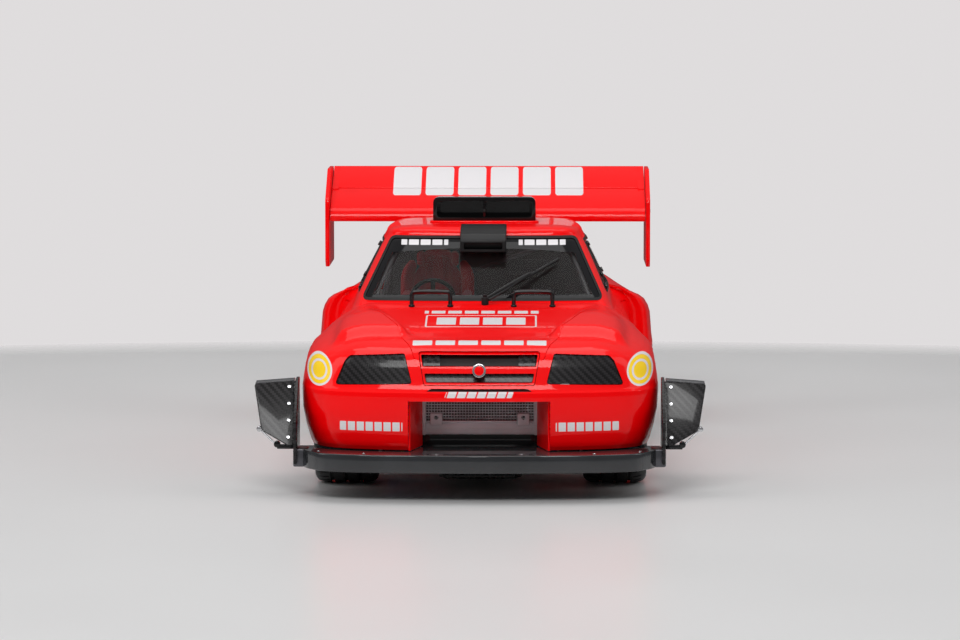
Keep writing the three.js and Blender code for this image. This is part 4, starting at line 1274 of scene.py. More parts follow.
def buildRoof():
    mouth = rounded([(-29.3, 131.5), (29.3, 131.5), (29.3, 145.3), (-29.3, 145.3)], (1.2, 1.2, 3.6, 3.6), 6)
    scoopFootZ, hollowFloorZ = 128.5, 133.4
    rings = []
    scoopRun = [  # distance back, share of the width, share of the height
        (6.2, 1.0, 1.0), (10, 1.0, 1.0), (24, 0.99, 0.97), (36, 0.96, 0.84), (48, 0.9, 0.62),
        (58, 0.83, 0.36),
        (63.6, 0.78, 0.18),
    ]
    for y, wide, tall in scoopRun:
        rings.append([(x * wide, y, scoopFootZ + (z - scoopFootZ) * tall) for x, z in mouth])
    scoop = loft("scoop", rings, True, True)
    bevel(scoop, 0.5, 2, 60)
    hole = rounded([(-27.2, 133.6), (27.2, 133.6), (27.2, 143.3), (-27.2, 143.3)], 2.6, 6)
    deep = [(x * 0.94, 30, hollowFloorZ + (z - hollowFloorZ) * 0.8) for x, z in hole]
    hollow = loft("hollow", [[(x, 0, z) for x, z in hole], [(x, 6.4, z) for x, z in hole], deep], True,
        True)
    cut(scoop, hollow)
    cut(scoop, loft("roof", cabinRings(-0.25), True, True))
    dress(scoop, "body", "black_plastic", blackGloss, replaces=("roof_scoop",), smooth=40)
    vane = block("scoopVane", (-0.7, 7.5, 133.5), (0.7, 28, 143.4), 0.3, 2)
    dress(vane, "body", "black_plastic", blackGloss)
    base = plate("scoopBase", rounded([(-31.5, 2.5), (31.5, 2.5), (26, 66.5), (-26, 66.5)], 4), "Z", 130.2,
        131.9, 0.4, 2)
    cut(base, loft("roof", cabinRings(-0.05), True, True))
    dress(base, "body", "red_paint", paintPlain)
    low = [(-51.8, 117.6), (-51.2, 124.5), (-47, 128.0), (-38, 129.8), (-28, 130.9), (-16, 131.6),
        (-16, 125), (-30, 117.6)]
    pod = plate("pod", rounded(low, (1, 2, 4, 4, 3, 1, 2, 2)), "X", -12.9, 12.9, 1.1, 4)
    cut(pod, block("podMouth", (-10.8, -60, 119.4), (10.8, -45.5, 123.2), 0.8, 3))
    cut(pod, loft("roof", cabinRings(-0.25), True, True))
    dress(pod, "body", "black_plastic", blackSatin, replaces=("screen_pod",), smooth=40)
    for sideName, side in (("right", 1), ("left", -1)):
        x = side * 28
        arch = [(x - 10.6, -98, 91.2), (x - 10.6, -98, 97.4), (x - 10.2, -98, 98.9), (x - 8.6, -98, 99.6),
            (x + 8.6, -98, 99.6),
                (x + 10.2, -98, 98.9), (x + 10.6, -98, 97.4), (x + 10.6, -98, 91.2)]
        hoop = [tube("hoop", arch, 1.15, 12)]
        for end in (-10.6, 10.6):
            hoop.append(cylinder("hoopFoot", (x + end, -98, 90.6), (x + end, -98, 92.4), 1.7, 20, 0.3))
        dress(join("hoop" + sideName, hoop), "body", "black_plastic", blackGloss,
            replaces=("bonnet_hoop_" + sideName,), smooth=40)
    pivot, tip = Vector((1.6, -94.2, 95.0)), Vector((41.8, -53.2, 114.2))
    away = Vector((0, -1.4, 0.9))
    arm = [cylinder("spindle", (1.6, -94.2, 90), (1.6, -94.2, 96.2), 2.0, 24, 0.4),
           tube("arm", [pivot, pivot.lerp(tip, 0.2) + away, pivot.lerp(tip, 0.6) + away], 1.05, 8),
           tube("armTwin", [pivot + Vector((2, 0, -0.2)),
           pivot.lerp(tip, 0.25) + away + Vector((1.6, 0, -1.5)), pivot.lerp(tip, 0.62) + away], 0.75, 8)]
    start, end = pivot.lerp(tip, 0.22), tip
    arm.append(tube("blade", [start + Vector((0, -0.2, -0.6)),
        start.lerp(end, 0.5) + Vector((0, -0.3, -0.4)), end], 0.95, 8))
    for t in (0.36, 0.6, 0.84):
        spot = start.lerp(end, t)
        arm.append(tube("claw", [spot, spot + away * 0.8], 0.5, 6, False, False))
    arm.append(cylinder("wiperNut", (1.6, -94.2, 96.2), (1.6, -94.2, 97.6), 1.3, 6, 0.15))
    dress(join("wiperArm", arm), "body", "black_plastic", blackSatin, replaces=("wiper",), smooth=40)


buildRoof()
print("roof")


wheel = {"tyreRadius": 32.5, "width": 34.0, "rimRadius": 25.0, "grooves": 40, "spokes": 5}


def buildTyre():
    half, r = wheel["width"] / 2, wheel["tyreRadius"]
    profile = [(-half + 1.2, 25.2), (-half + 0.2, 26.4), (-half + 0.1, 28.6), (-half + 0.7, 30.2),
        (-half + 1.8, 31.4), (-half + 3.4, 31.95)]
    # three rain grooves run round the tread
    tread = []
    for middle in (-7.6, 0, 7.6):
        tread += [(middle - 1.0, r), (middle - 0.8, r - 1.1), (middle + 0.8, r - 1.1), (middle + 1.0, r)]
    tread = [(-half + 5, r - 0.15), *tread, (half - 5, r - 0.15)]
    profile += tread + [(-x, radius) for x, radius in reversed(profile)]
    tyre = spun("tyre", profile, 96)
    lugs = []
    for i in range(wheel["grooves"]):
        a = 2 * math.pi * i / wheel["grooves"]
        for side in (1, -1):
            slot = block("slot", (9.6, -0.55, r - 1.0), (17.4, 0.55, r + 1.0), 0, 1)
            slot.data.transform(Matrix.Rotation(a, 4, "X") @ Matrix.Scale(side, 4,
                (1, 0, 0)) @ Matrix.Rotation(math.radians(14) * side, 4, "Z"))
            if side < 0:
                slot.data.flip_normals()
            lugs.append(slot)
    cut(tyre, join("slots", lugs))
    letters = [block("bar", (half - 0.3, -1.6, 27.4), (half - 0.02, 1.6, 29.4), 0.1, 1) for i in range(10)]
    for i, bar in enumerate(letters):
        bar.data.transform(Matrix.Rotation(2 * math.pi * (i * 0.42 + (i // 5) * 1.9) / 10, 4, "X"))
    return tyre, join("bars", letters)


def buildRim():
    half, r = wheel["width"] / 2, wheel["rimRadius"]
    barrel = spun("barrel", [(-half + 1.0, r), (-half + 1.0, r - 1.6), (-half + 3, r - 2.2), (-2, r - 2.8),
        (6, r - 2.6), (half - 5.5, r - 1.9),
                             (half - 1.2, r - 1.7), (half - 0.6, r - 1.1), (half - 0.7, r),
                             (half - 3, r - 0.2), (0, r - 0.9), (-half + 4, r - 0.3)], 72)
    spokes = []
    for i in range(wheel["spokes"]):
        a = 2 * math.pi * i / wheel["spokes"]
        spoke = block("spoke", (8.2, -3.0, 5.0), (11.6, 3.0, r - 2.2), 0, 1)
        pick(spoke, lambda c, n: n.z > 0.9)
        bpy.ops.transform.resize(value=(1, 1.5, 1))
        bpy.ops.transform.translate(value=(0.0018, 0, 0))
        done()
        cut(spoke, block("slot", (10.4, -0.9, 9), (20, 0.9, r - 4.5), 0.4, 2))
        bevel(spoke, 0.5, 2)
        spoke.data.transform(Matrix.Rotation(a, 4, "X"))
        spokes.append(spoke)
    hub = cylinder("hub", (-3, 0, 0), (12.2, 0, 0), 7.2, 48, 0.8)
    cut(hub, cylinder("bore", (-6, 0, 0), (9, 0, 0), 2.8, 32, 0))
    cut(hub, cylinder("dish", (10.6, 0, 0), (20, 0, 0), 4.6, 40, 0))
    return join("rim", [barrel, hub, *spokes])


def nutAndBrake():
    # the wheel nut with its lugs, and the drilled brake disc
    nut = cylinder("nut", (10.7, 0, 0), (14.4, 0, 0), 3.5, 6, 0.35)
    flange = cylinder("flange", (10.5, 0, 0), (11.3, 0, 0), 4.3, 40, 0.2)
    stud = cylinder("stud", (14.0, 0, 0), (15.8, 0, 0), 1.5, 24, 0.2)
    rest = []
    for i in range(5):
        a = 2 * math.pi * (i + 0.5) / 5
        y, z = 5.7 * math.cos(a), 5.7 * math.sin(a)
        rest.append(cylinder("lug", (11.9, y, z), (12.9, y, z), 0.75, 12, 0.15))
    brake = spun("brake", [(-1.0, 9), (-1.0, 17.5), (1.0, 17.5), (1.0, 9)], 64)
    for i in range(24):
        a = 2 * math.pi * i / 24
        rad = 12.2 if i % 2 else 15.0
        y, z = rad * math.cos(a), rad * math.sin(a)
        cut(brake, cylinder("hole", (-3, y, z), (3, y, z), 0.7, 10, 0), solver="FAST")
    return join("nut", [nut, flange, stud, *rest]), brake


tyrePattern, barPattern = buildTyre()
rimPattern = buildRim()
nutPattern, brakePattern = nutAndBrake()
for end, y, track in (("front", -140.0, 72.0), ("rear", 117.0, 77.0)):
    for sideName, side in (("right", 1), ("left", -1)):
        turn = Matrix.Rotation(0 if side > 0 else math.pi, 4, "Z")
        place = Matrix.Translation(Vector((side * track, y, 32.5)) * mm) @ turn
        body = end + "_wheel_" + sideName
        label = end + sideName.title()
        dress(moved(tyrePattern, "tyre" + label, place), body, "tyre_rubber", rubber,
            replaces=(end + "_tyre_" + sideName,), smooth=35)
        dress(moved(rimPattern, "rim" + label, place), body, "rim_plastic", whiteRim,
            replaces=(end + "_rim_" + sideName,), smooth=35)
        dress(moved(barPattern, "tyreBars" + label, place), body, "rim_plastic", labelPale, smooth=0)
        dress(moved(nutPattern, "nut" + label, place), body, "aluminium", anodBlue, smooth=30)
        dress(moved(brakePattern, "brake" + label, place), body, "steel", steelBright, smooth=30)
for pattern in (tyrePattern, barPattern, rimPattern, nutPattern, brakePattern):
    bpy.data.objects.remove(pattern)
print("wheels")


gear = {
    "frontAxle": -140.0, "rearAxle": 117.0, "axleZ": 32.5, "armZ": 15.0, "kingpinX": 60.0,
    "damperTop": (37.0, 62.0), "damperFoot": (43.0, 20.4), "coils": 7.5,
}
axis = gear["axleZ"]


def cornerBlend(piece, look, replaces=()):
    settle(piece)
    piece.data.materials.clear()
    piece.data.materials.append(look.material)
    only(piece)
    bpy.ops.object.shade_smooth_by_angle(angle=math.radians(40))
    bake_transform(piece)
    if replaces:
        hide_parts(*replaces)


def damper(end, sideName, side, y):
    arm = end + "_arm_" + sideName
    top = Vector((side * gear["damperTop"][0], y, gear["damperTop"][1]))
    foot = Vector((side * gear["damperFoot"][0], y, gear["damperFoot"][1]))
    along = lambda t: tuple(foot.lerp(top, t))
    label = end + sideName.title()
    coil, turns = [], gear["coils"]
    u = Vector((0, 1, 0))
    v = (top - foot).normalized().cross(u)
    steps = int(turns * 14)
    for i in range(steps + 1):
        a = 2 * math.pi * turns * i / steps
        coil.append(foot.lerp(top, 0.16 + 0.62 * i / steps) + (u * math.cos(a) + v * math.sin(a)) * 4.6)
    cornerBlend(tube("spring" + label, coil, 0.62, 8), springGold,
        (end + "_damper_" + sideName,))
    shaft = join("shaft" + label, [cylinder("rod", along(0.03), along(0.5), 0.95, 16, 0.1),
        cylinder("cup", along(0.13), along(0.17), 5.3, 32, 0.3)])
    dress(shaft, arm, "steel", steelBright)
    eye = cylinder("eye", (foot.x, y - 2.2, foot.z), (foot.x, y + 2.2, foot.z), 2.4, 20, 0.3)
    dress(eye, arm, "black_plastic", blackSatin)
    can = [cylinder("can", along(0.46), along(0.93), 3.6, 32, 0.3),
        cylinder("collar", along(0.78), along(0.83), 5.3, 32, 0.4),
           cylinder("cap", along(0.9), along(0.98), 3.9, 24, 0.4),
           cylinder("topEye", (top.x, y - 2.2, top.z), (top.x, y + 2.2, top.z), 2.2, 20, 0.3)]
    dress(join("can" + label, can), "chassis", "aluminium", anodBlue)


def armPlate(name, outline, y, side):
    points = [(side * x, y + w) for x, w in outline]
    return plate(name, points, "Z", gear["armZ"] - 2.5, gear["armZ"] + 2.5, 0.6, 2)


def frontCorner(sideName, side):
    # lower arm with its kingpin lugs, knuckle with its steering arm, and damper
    y = gear["frontAxle"]
    arm = armPlate("arm", rounded([(23, -13), (50, -4.4), (64, -4.4), (64, 4.4), (50, 4.4), (23, 13)],
        (2, 4, 2, 2, 4, 2)), y, side)
    cut(arm, armPlate("pocket", rounded([(27.5, -7.5), (41, -3), (41, 3), (27.5, 7.5)], 1.5), y, side))
    arm = join("armFront", [arm, sideBlock("web", side, (27, 46), (y - 0.9, y + 0.9), (12.8, 17.2)),
        sideBlock("spine", side, (48.6, 52), (y - 3.3, y + 3.3), (13, 51)),
                            sideBlock("lug", side, (48.6, 64), (y - 4.3, y + 4.3), (47.4, 51)),
                            cylinder("tube", (side * 24, y - 13, 15), (side * 24, y + 13, 15), 2.45, 24,
                            0.4)])
    for z in (10, 44):
        cut(arm, cylinder("pinHole", (side * 60, y, z), (side * 60, y, z + 9), 1.7, 20, 0))
    dress(arm, "front_arm_" + sideName, "black_plastic", blackSatin, replaces=("front_arm_" + sideName,))
    hinge = [cylinder("pin", (side * 24, y - 16, 15), (side * 24, y + 16, 15), 1.2, 16, 0.2)]
    dress(join("hingePin", hinge), "front_arm_" + sideName, "steel", steelBright)
    knuckle = [sideBlock("hubBlock", side, (57.1, 63.5), (y - 5.9, y + 5.9), (18.4, 46.6), 0.8),
               cylinder("boss", (side * 57.2, y, axis), (side * 65.4, y, axis), 6.4, 36, 0.5),
               cylinder("stub", (side * 63, y, axis), (side * 79, y, axis), 2.45, 24, 0.3),
               cylinder("kingpin", (side * 60, y, 13.6), (side * 60, y, 50), 1.35, 20, 0.2)]
    reach = [(side * x, y + w) for x, w in rounded([(57.5, 2), (61, 4), (55.5, 20.8), (51.6, 20.8),
        (51.6, 17)], (0.4, 0.6, 1.8, 1.8, 2))]
    knuckle.append(plate("steeringArm", reach, "Z", 27, 30, 0.4, 2))
    knuckle.append(cylinder("ball", (side * 53.5, y + 18.9, 29.8), (side * 53.5, y + 18.9, 31.4), 1.4, 20,
        0.4))
    dress(join("knuckle" + sideName, knuckle), "knuckle_" + sideName, "aluminium", aluminium,
        replaces=("knuckle_" + sideName,))
    damper("front", sideName, side, y + 1)


def rearCorner(sideName, side):
    # lower arm with a fixed upright, driveshaft and damper
    y = gear["rearAxle"]
    arm = armPlate("arm", rounded([(23, -15), (50, -10), (58, -10), (58, 10), (50, 10), (23, 15)],
        (2, 4, 2, 2, 4, 2)), y, side)
    cut(arm, armPlate("pocket", rounded([(27.5, -10), (44, -7), (44, 4), (27.5, 6)], 1.5), y, side))
    upright = sideBlock("upright", side, (52, 58), (y - 7.9, y + 7.9), (13, 45.8), 1.0)
    upright = join("upright", [upright, cylinder("bearing", (side * 50.6, y, axis), (side * 59.0, y, axis),
        7.4, 40, 0.5)])
    cut(upright, cylinder("hole", (side * 40, y, axis), (side * 70, y, axis), 3.5, 32, 0))
    arm = join("armRear", [arm, upright, sideBlock("web", side, (27, 46), (y - 2.5, y - 0.7), (12.8, 17.2)),
                           cylinder("tube", (side * 24, y - 15, 15), (side * 24, y + 15, 15), 2.45, 24,
                           0.4)])
    dress(arm, "rear_arm_" + sideName, "black_plastic", blackSatin, replaces=("rear_arm_" + sideName,))
    pin = cylinder("pin", (side * 24, y - 18, 15), (side * 24, y + 18, 15), 1.2, 16, 0.2)
    dress(pin, "rear_arm_" + sideName, "steel", steelBright)
    shaft = [cylinder("cup", (side * 9.2, y, axis), (side * 13, y, axis), 4, 32, 0.4),
        cylinder("bar", (side * 12.8, y, axis), (side * 83.8, y, axis), 2.4, 24, 0.2)]
    for x in (15.4, 47.4):
        shaft.append(cylinder("joint", (side * x, y, axis), (side * (x + 2.4), y, axis), 3.3, 24, 0.5))
        shaft.append(cylinder("cross", (side * (x + 1.2), y - 3.7, axis), (side * (x + 1.2), y + 3.7, axis),
            0.9, 12, 0.1))
    shaft.append(cylinder("hex", (side * 59.6, y, axis), (side * 66.0, y, axis), 3.3, 6, 0.3))
    dress(join("driveshaft" + sideName, shaft), "rear_wheel_" + sideName, "steel", steelDark,
        replaces=("rear_driveshaft_" + sideName,))
    damper("rear", sideName, side, y + 9.5)


for sideName, side in (("right", 1), ("left", -1)):
    frontCorner(sideName, side)
    rearCorner(sideName, side)

tie = [cylinder("tie", (-48.4, -121, 28.5), (48.4, -121, 28.5), 1.3, 20, 0.2),
    block("bar", (-26, -123.4, 24.1), (26, -118.6, 32.9), 0.8, 2),
       block("link", (-4, -119.2, 26.2), (4, -115.1, 31.8), 0.6, 2)]
for x in (-45, 45):
    tie.append(cylinder("end", (x - 2.8, -121, 28.5), (x + 2.8, -121, 28.5), 2.1, 20, 0.5))
    tie.append(cylinder("adjuster", (x * 0.68 - 3, -121, 28.5), (x * 0.68 + 3, -121, 28.5), 1.9, 6, 0.3))
dress(join("rackBar", tie), "rack", "aluminium", aluminium, replaces=("steering_rack",))
bolts("rackBolts", "rack", [((x, -121, 32.9), (0, 0, 1)) for x in (-20, -8, 8, 20)], 1.2, 0.9)
print("corners")


def involute(radius, teeth, depth, x0, x1, name):
    outline = []
    for i in range(teeth):
        for shift in (-0.30, -0.20, -0.09, 0.09, 0.20, 0.30):
            r = radius - 0.02 if abs(shift) < 0.1 else radius - depth
            a = 2 * math.pi * (i + shift) / teeth
            outline.append((r * math.cos(a), r * math.sin(a)))
    return plate(name, outline, "X", x0, x1, 0)


def buildDrive():
    spur = involute(20, 60, 1.5, 31.7, 35.3, "spur")
    for i in range(6):
        a = math.pi * i / 3
        y, z = 12.5 * math.cos(a), 12.5 * math.sin(a)
        cut(spur, cylinder("hole", (25, y, z), (40, y, z), 3.2, 24, 0))
    parts = [spur, cylinder("hub", (31.0, 0, 0), (37.4, 0, 0), 5.4, 32, 0.5),
        cylinder("shaft", (4.2, 0, 0), (38.8, 0, 0), 2.3, 24, 0.3)]
    whole = join("spurWheel", parts)
    whole.data.transform(Matrix.Translation(Vector((0, 88, 38)) * mm))
    dress(whole, "spur", "gear_nylon", nylonGrey, replaces=("spur_gear",), smooth=30)
    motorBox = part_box("motor")
    my, mz = ((motorBox[0][i] + motorBox[1][i]) / 2 / mm for i in (1, 2))
    pinion = involute(6, 18, 1.2, 31.2, 36.4, "pinion")
    whole = join("pinionWheel", [pinion, cylinder("shaft", (19.6, 0, 0), (37.9, 0, 0), 1.55, 20, 0.2),
        cylinder("collar", (29.6, 0, 0), (31.4, 0, 0), 3.6, 24, 0.3)])
    whole.data.transform(Matrix.Translation(Vector((0, my, mz)) * mm))
    dress(whole, "pinion", "steel", steelBright, replaces=("motor_pinion",), smooth=30)
    can = cylinder("can", (-26.4, my, mz), (26.4, my, mz), 17.9, 72, 1.6)
    for i in range(8):
        a = 2 * math.pi * i / 8
        y, z = my + 15.5 * math.cos(a), mz + 15.5 * math.sin(a)
        cut(can, block("slot", (-24, y - 2.4, z - 2.4), (-16, y + 2.4, z + 2.4), 0.8, 2))
    cut(can, cylinder("bore", (18, my, mz), (40, my, mz), 2.2, 24, 0))
    dress(can, "chassis", "aluminium", aluminium, replaces=("motor",), smooth=40)
    rest = [cylinder("boss", (-29.4, my, mz), (-26, my, mz), 6.4, 36, 0.5),
        cylinder("core", (-24, my, mz), (16, my, mz), 14.4, 40, 0.4)]
    dress(join("motorCore", rest), "chassis", "black_plastic", copper)
    band = spun("band", [(-12, 18.0), (-12, 18.06), (12, 18.06), (12, 18.0)], 96)
    band.data.transform(Matrix.Translation(Vector((0, my, mz)) * mm))
    dress(band, "chassis", "battery_case", caseBlue)
    case = plate("case", rounded([(83.2, 8.9), (133.8, 8.9), (133.8, 44), (123, 51.8), (92, 51.8),
        (83.2, 44)], 2.5), "X", -12, 12, 0.8, 2)
    cut(case, cylinder("bore", (2, 88, 38), (60, 88, 38), 3, 24, 0))
    cut(case, cylinder("axle", (-40, 117, axis), (40, 117, axis), 5.4, 40, 0))
    ribs = [block("rib", (-12.9 if s < 0 else 11.6, y0, 12), (-11.6 if s < 0 else 12.9, y0 + 1.1, 46), 0.3,
        1) for s in (-1,) for y0 in (87, 98, 128)]
    side = [(my - 16, 8.9), (95.8, 8.9), (95.8, 46), (84, 46), (my - 16, 36)]
    mount = plate("mount", rounded(side, 2.5), "X", 26.9, 29.1, 0.3, 2)
    cut(mount, cylinder("bore", (20, my, mz), (40, my, mz), 5, 32, 0))
    bridge = block("bridge", (11, 85.2, 8.9), (27.7, 95.8, 13.7), 0.6, 2)
    cut(mount, cylinder("bearing", (20, 88, 38), (40, 88, 38), 3.2, 32, 0))
    dress(join("gearCase", [case, *ribs, mount, bridge]), "chassis", "black_plastic", blackSatin,
        replaces=("gearbox",))
    spots = [((29.1, y, z), (1, 0, 0)) for y, z in ((my - 11, mz + 5), (my + 9, mz - 9.5), (92.5, 12),
        (88, 43))]
    spots += [((-12, y, z), (-1, 0, 0)) for y,
        z in ((86, 12), (131, 12), (131, 41), (96, 49), (86, 42), (122, 49))]
    spots += [((x, y, 51.8), (0, 0, 1)) for x in (-8, 8) for y in (97, 119)]
    bolts("caseBolts", "chassis", spots, 1.4, 1.0)
    return my, mz


motorY, motorZ = buildDrive()
print("drive")


def wire(name, points, radius, look, slot="black_plastic"):
    return dress(tube(name, points, radius, 10), "chassis", slot, look, smooth=60)


def buildChassis():
    half = [(18, -176), (22, -166), (20, -118), (44, -86), (54, -80), (54, 55), (36, 67), (20, 95),
        (20, 151)]
    floor = plate("floorPlate", rounded(mirroredOutline(half), 3, 4), "Z", 6.0, 8.5, 0.35, 2)
    for side in (1, -1):
        for y in (-60, -30, 0, 30):
            low, high = span(side, 49, 52)
            cut(floor, block("slot", (low, y - 9, 4), (high, y + 9, 10), 1.2, 3))
    for y in (-60, 34):
        cut(floor, block("slot", (-3.4, y - 16, 4), (3.4, y + 16, 10), 2.2, 4))
    dress(floor, "chassis", "carbon", twillXY, replaces=("chassis_plate",), smooth=30)
    spots = [((x, y, 6.2), (0, 0, -1)) for x in (-12, 12) for y in (-168, -152, -128, 90, 106, 128, 145)]
    spots += [((x, y, 6.2), (0, 0, -1)) for x in (-44, 44) for y in (-70, 45)] + [((x, y, 6.2), (0, 0, -1))
        for x in (-16, 16) for y in (-98, -90)]
    spots = [((x, y, 6.55), n) for (x, y, z), n in spots]
    bolts("floorScrews", "chassis", spots, 1.7, 0.5)
    pack = block("pack", (-52, -74, 8.9), (-5.5, 19, 33.7), 2.6, 4)
    dress(pack, "chassis", "battery_case", caseBlue, replaces=("battery_pack",))
    label = block("label", (-48, -66, 33.65), (-10, 4, 33.85), 0.05, 1)
    bars = [block("bar", (-44, y, 33.83), (-14, y + 4, 33.93), 0, 1) for y in (-58, -48)]
    dress(label, "chassis", "black_plastic", labelPale, smooth=0)
    dress(join("labelBars", bars), "chassis", "black_plastic", wireRed, smooth=0)
    straps = []
    for y in (-44, -8):
        straps.append(block("strap", (-52.9, y, 8.8), (-4.7, y + 9, 34.6), 0.8, 2))
        cut(straps[-1], block("inner", (-52.1, y - 2, 8.0), (-5.4, y + 11, 33.95), 2.4, 3))
    dress(join("straps", straps), "chassis", "black_plastic", beltCloth)
    esc = block("escCase", (12, -30, 8.9), (48, 8, 24.8), 1.6, 3)
    dress(esc, "chassis", "black_plastic", blackSatin, replaces=("speed_controller",))
    fins = [block("fin", (16, y, 24.6), (44, y + 0.8, 29.7), 0.15, 1)
        for y in [-25.6 + 2.4 * i for i in range(12)]]
    dress(join("escFins", [*fins, block("base", (15.6, -26.4, 24.6), (44.4, 4, 25.6), 0.3, 1)]), "chassis",
        "aluminium", anodBlue, smooth=30)
    rx = block("receiverCase", (14, -70, 8.9), (46, -38, 22.7), 1.4, 3)
    dress(rx, "chassis", "black_plastic", blackSatin, replaces=("receiver",))
    pins = [block("plug", (17 + 4.2 * i, -71.6, 11.5), (20.2 + 4.2 * i, -67, 19.5), 0.3, 1)
        for i in range(6)]
    dress(join("plugs", pins), "chassis", "black_plastic", darkInside, smooth=0)
    servo = [block("servoCase", (-20, -103.8, 8.9), (20, -84.2, 33.9), 1.2, 3),
        block("servoCap", (-19.4, -103, 28), (19.4, -85, 28.6), 0.2, 1),
             block("earRight", (19.5, -102, 24), (25.5, -86, 26.6), 0.6, 2),
             block("earLeft", (-25.5, -102, 24), (-19.5, -86, 26.6), 0.6, 2)]
    dress(join("servo", servo), "chassis", "black_plastic", blackSatin, replaces=("steering_servo",))
    horn = [cylinder("spline", (10, -94, 33.8), (10, -94, 37.9), 3, 32, 0.4),
        cylinder("hornDisc", (10, -94, 34.4), (10, -94, 36.4), 5.6, 36, 0.5)]
    dress(join("servoHorn", horn), "chassis", "aluminium", aluminium)
    posts = []
    for x in (-23, 23):
        posts.append(block("servoPost", (x - 2.2, -97, 8.8), (x + 2.2, -91, 24.1), 0.5, 2))
    dress(join("servoPosts", posts), "chassis", "aluminium", anodBlue)
    bolts("servoBolts", "chassis", [((x, -94, 26.6), (0, 0, 1)) for x in (-23, 23)]
        + [((10, -94, 37.8), (0, 0, 1))], 1.4, 0.9)
    for end, y, postZ in (("front", -132.5, 78), ("rear", 134.5, 88)):
        face = mirroredOutline([(16, 9), (18, 40), (42, 60), (42, 66)])
        tower = plate("tower", rounded([*face[:4], (30, 71), (12, 56), (-12, 56), (-30, 71), *face[4:]],
            2.5), "Y", y, y + 3, 0.3, 2)
        for x in (-9, 9):
            cut(tower, plate("window", rounded([(x - 5, 18), (x + 5, 18), (x + 5, 46), (x - 5, 46)], 3),
                "Y", y - 2, y + 5, 0))
        for side in (1, -1):
            for x, z in ((33.4, 56.6), (29.8, 53.2)):
                cut(tower, cylinder("hole", (side * x, y - 2, z), (side * x, y + 5, z), 1.1, 16, 0))
        dress(tower, "chassis", "carbon", twillXZ, replaces=(end + "_tower",), smooth=30)
        foot = block("towerFoot", (-16, y + 2.9, 8.9), (16, y + 9, 12.8), 0.6, 2)
        dress(foot, "chassis", "aluminium", anodBlue)
        posts = []
        for side in (1, -1):
            posts.append(cylinder("post", (side * 30, y + 1.5, 52), (side * 30, y + 1.5, postZ - 1.5), 2.9,
                32, 0.4))
            posts.append(cylinder("magnet", (side * 30, y + 1.5, postZ - 1.6),
                (side * 30, y + 1.5, postZ - 0.05), 2.4, 32, 0.3))
        dress(join("posts", posts), "chassis", "black_plastic", blackSatin)
        bolts("towerBolts", "chassis", [((x, y, z), (0, -1, 0)) for x,
            z in ((-12, 11), (12, 11), (-37, 62), (37, 62))]
              + [((x, y + 6, 12.8), (0, 0, 1)) for x in (-10, 10)], 1.5, 1.0)
    wire("leadPlus", [(-24, 19, 24), (-24, 27, 25), (-6, 30, 22), (12, 24, 18), (22, 14, 17), (22, 7, 17)],
        1.5, wireRed)
    wire("leadMinus", [(-32, 19, 24), (-32, 31, 25), (-4, 35, 21), (18, 30, 18), (28, 16, 17), (28, 7, 17)],
        1.5, blackSatin)
    for i, look in enumerate((wireRed, blackSatin, caseBlue)):
        x = 34 + 4 * i
        wire("phase" + str(i), [(x, 7, 18), (x, 18, 19), (x - 16, 32, 20), (-2 - 7 * i, 40, 22),
            (-18 - 2 * i, motorY - 14.6, motorZ + 4 + 3 * i)], 1.25, look)
    wire("servoLead", [(-19, -88, 12), (-27, -84, 12), (-2, -78, 14), (18, -74, 15), (19, -70, 15)], 0.9,
        blackSatin)
    wire("escLead", [(16, -38.5, 14), (15, -34, 14), (16, -30, 14)], 0.9, blackSatin)
    wire("antenna", [(44, -54, 22), (48.5, -54, 30), (49, -56, 44), (49, -60, 60)], 0.7, blackSatin)


buildChassis()
print("chassis")


cockpit = {"seatX": -27.0, "trayZ": 78.0, "wheelCentre": (-28.0, -50.0, 92.6), "rake": -1.05,
    "wheelRadius": 11.5}


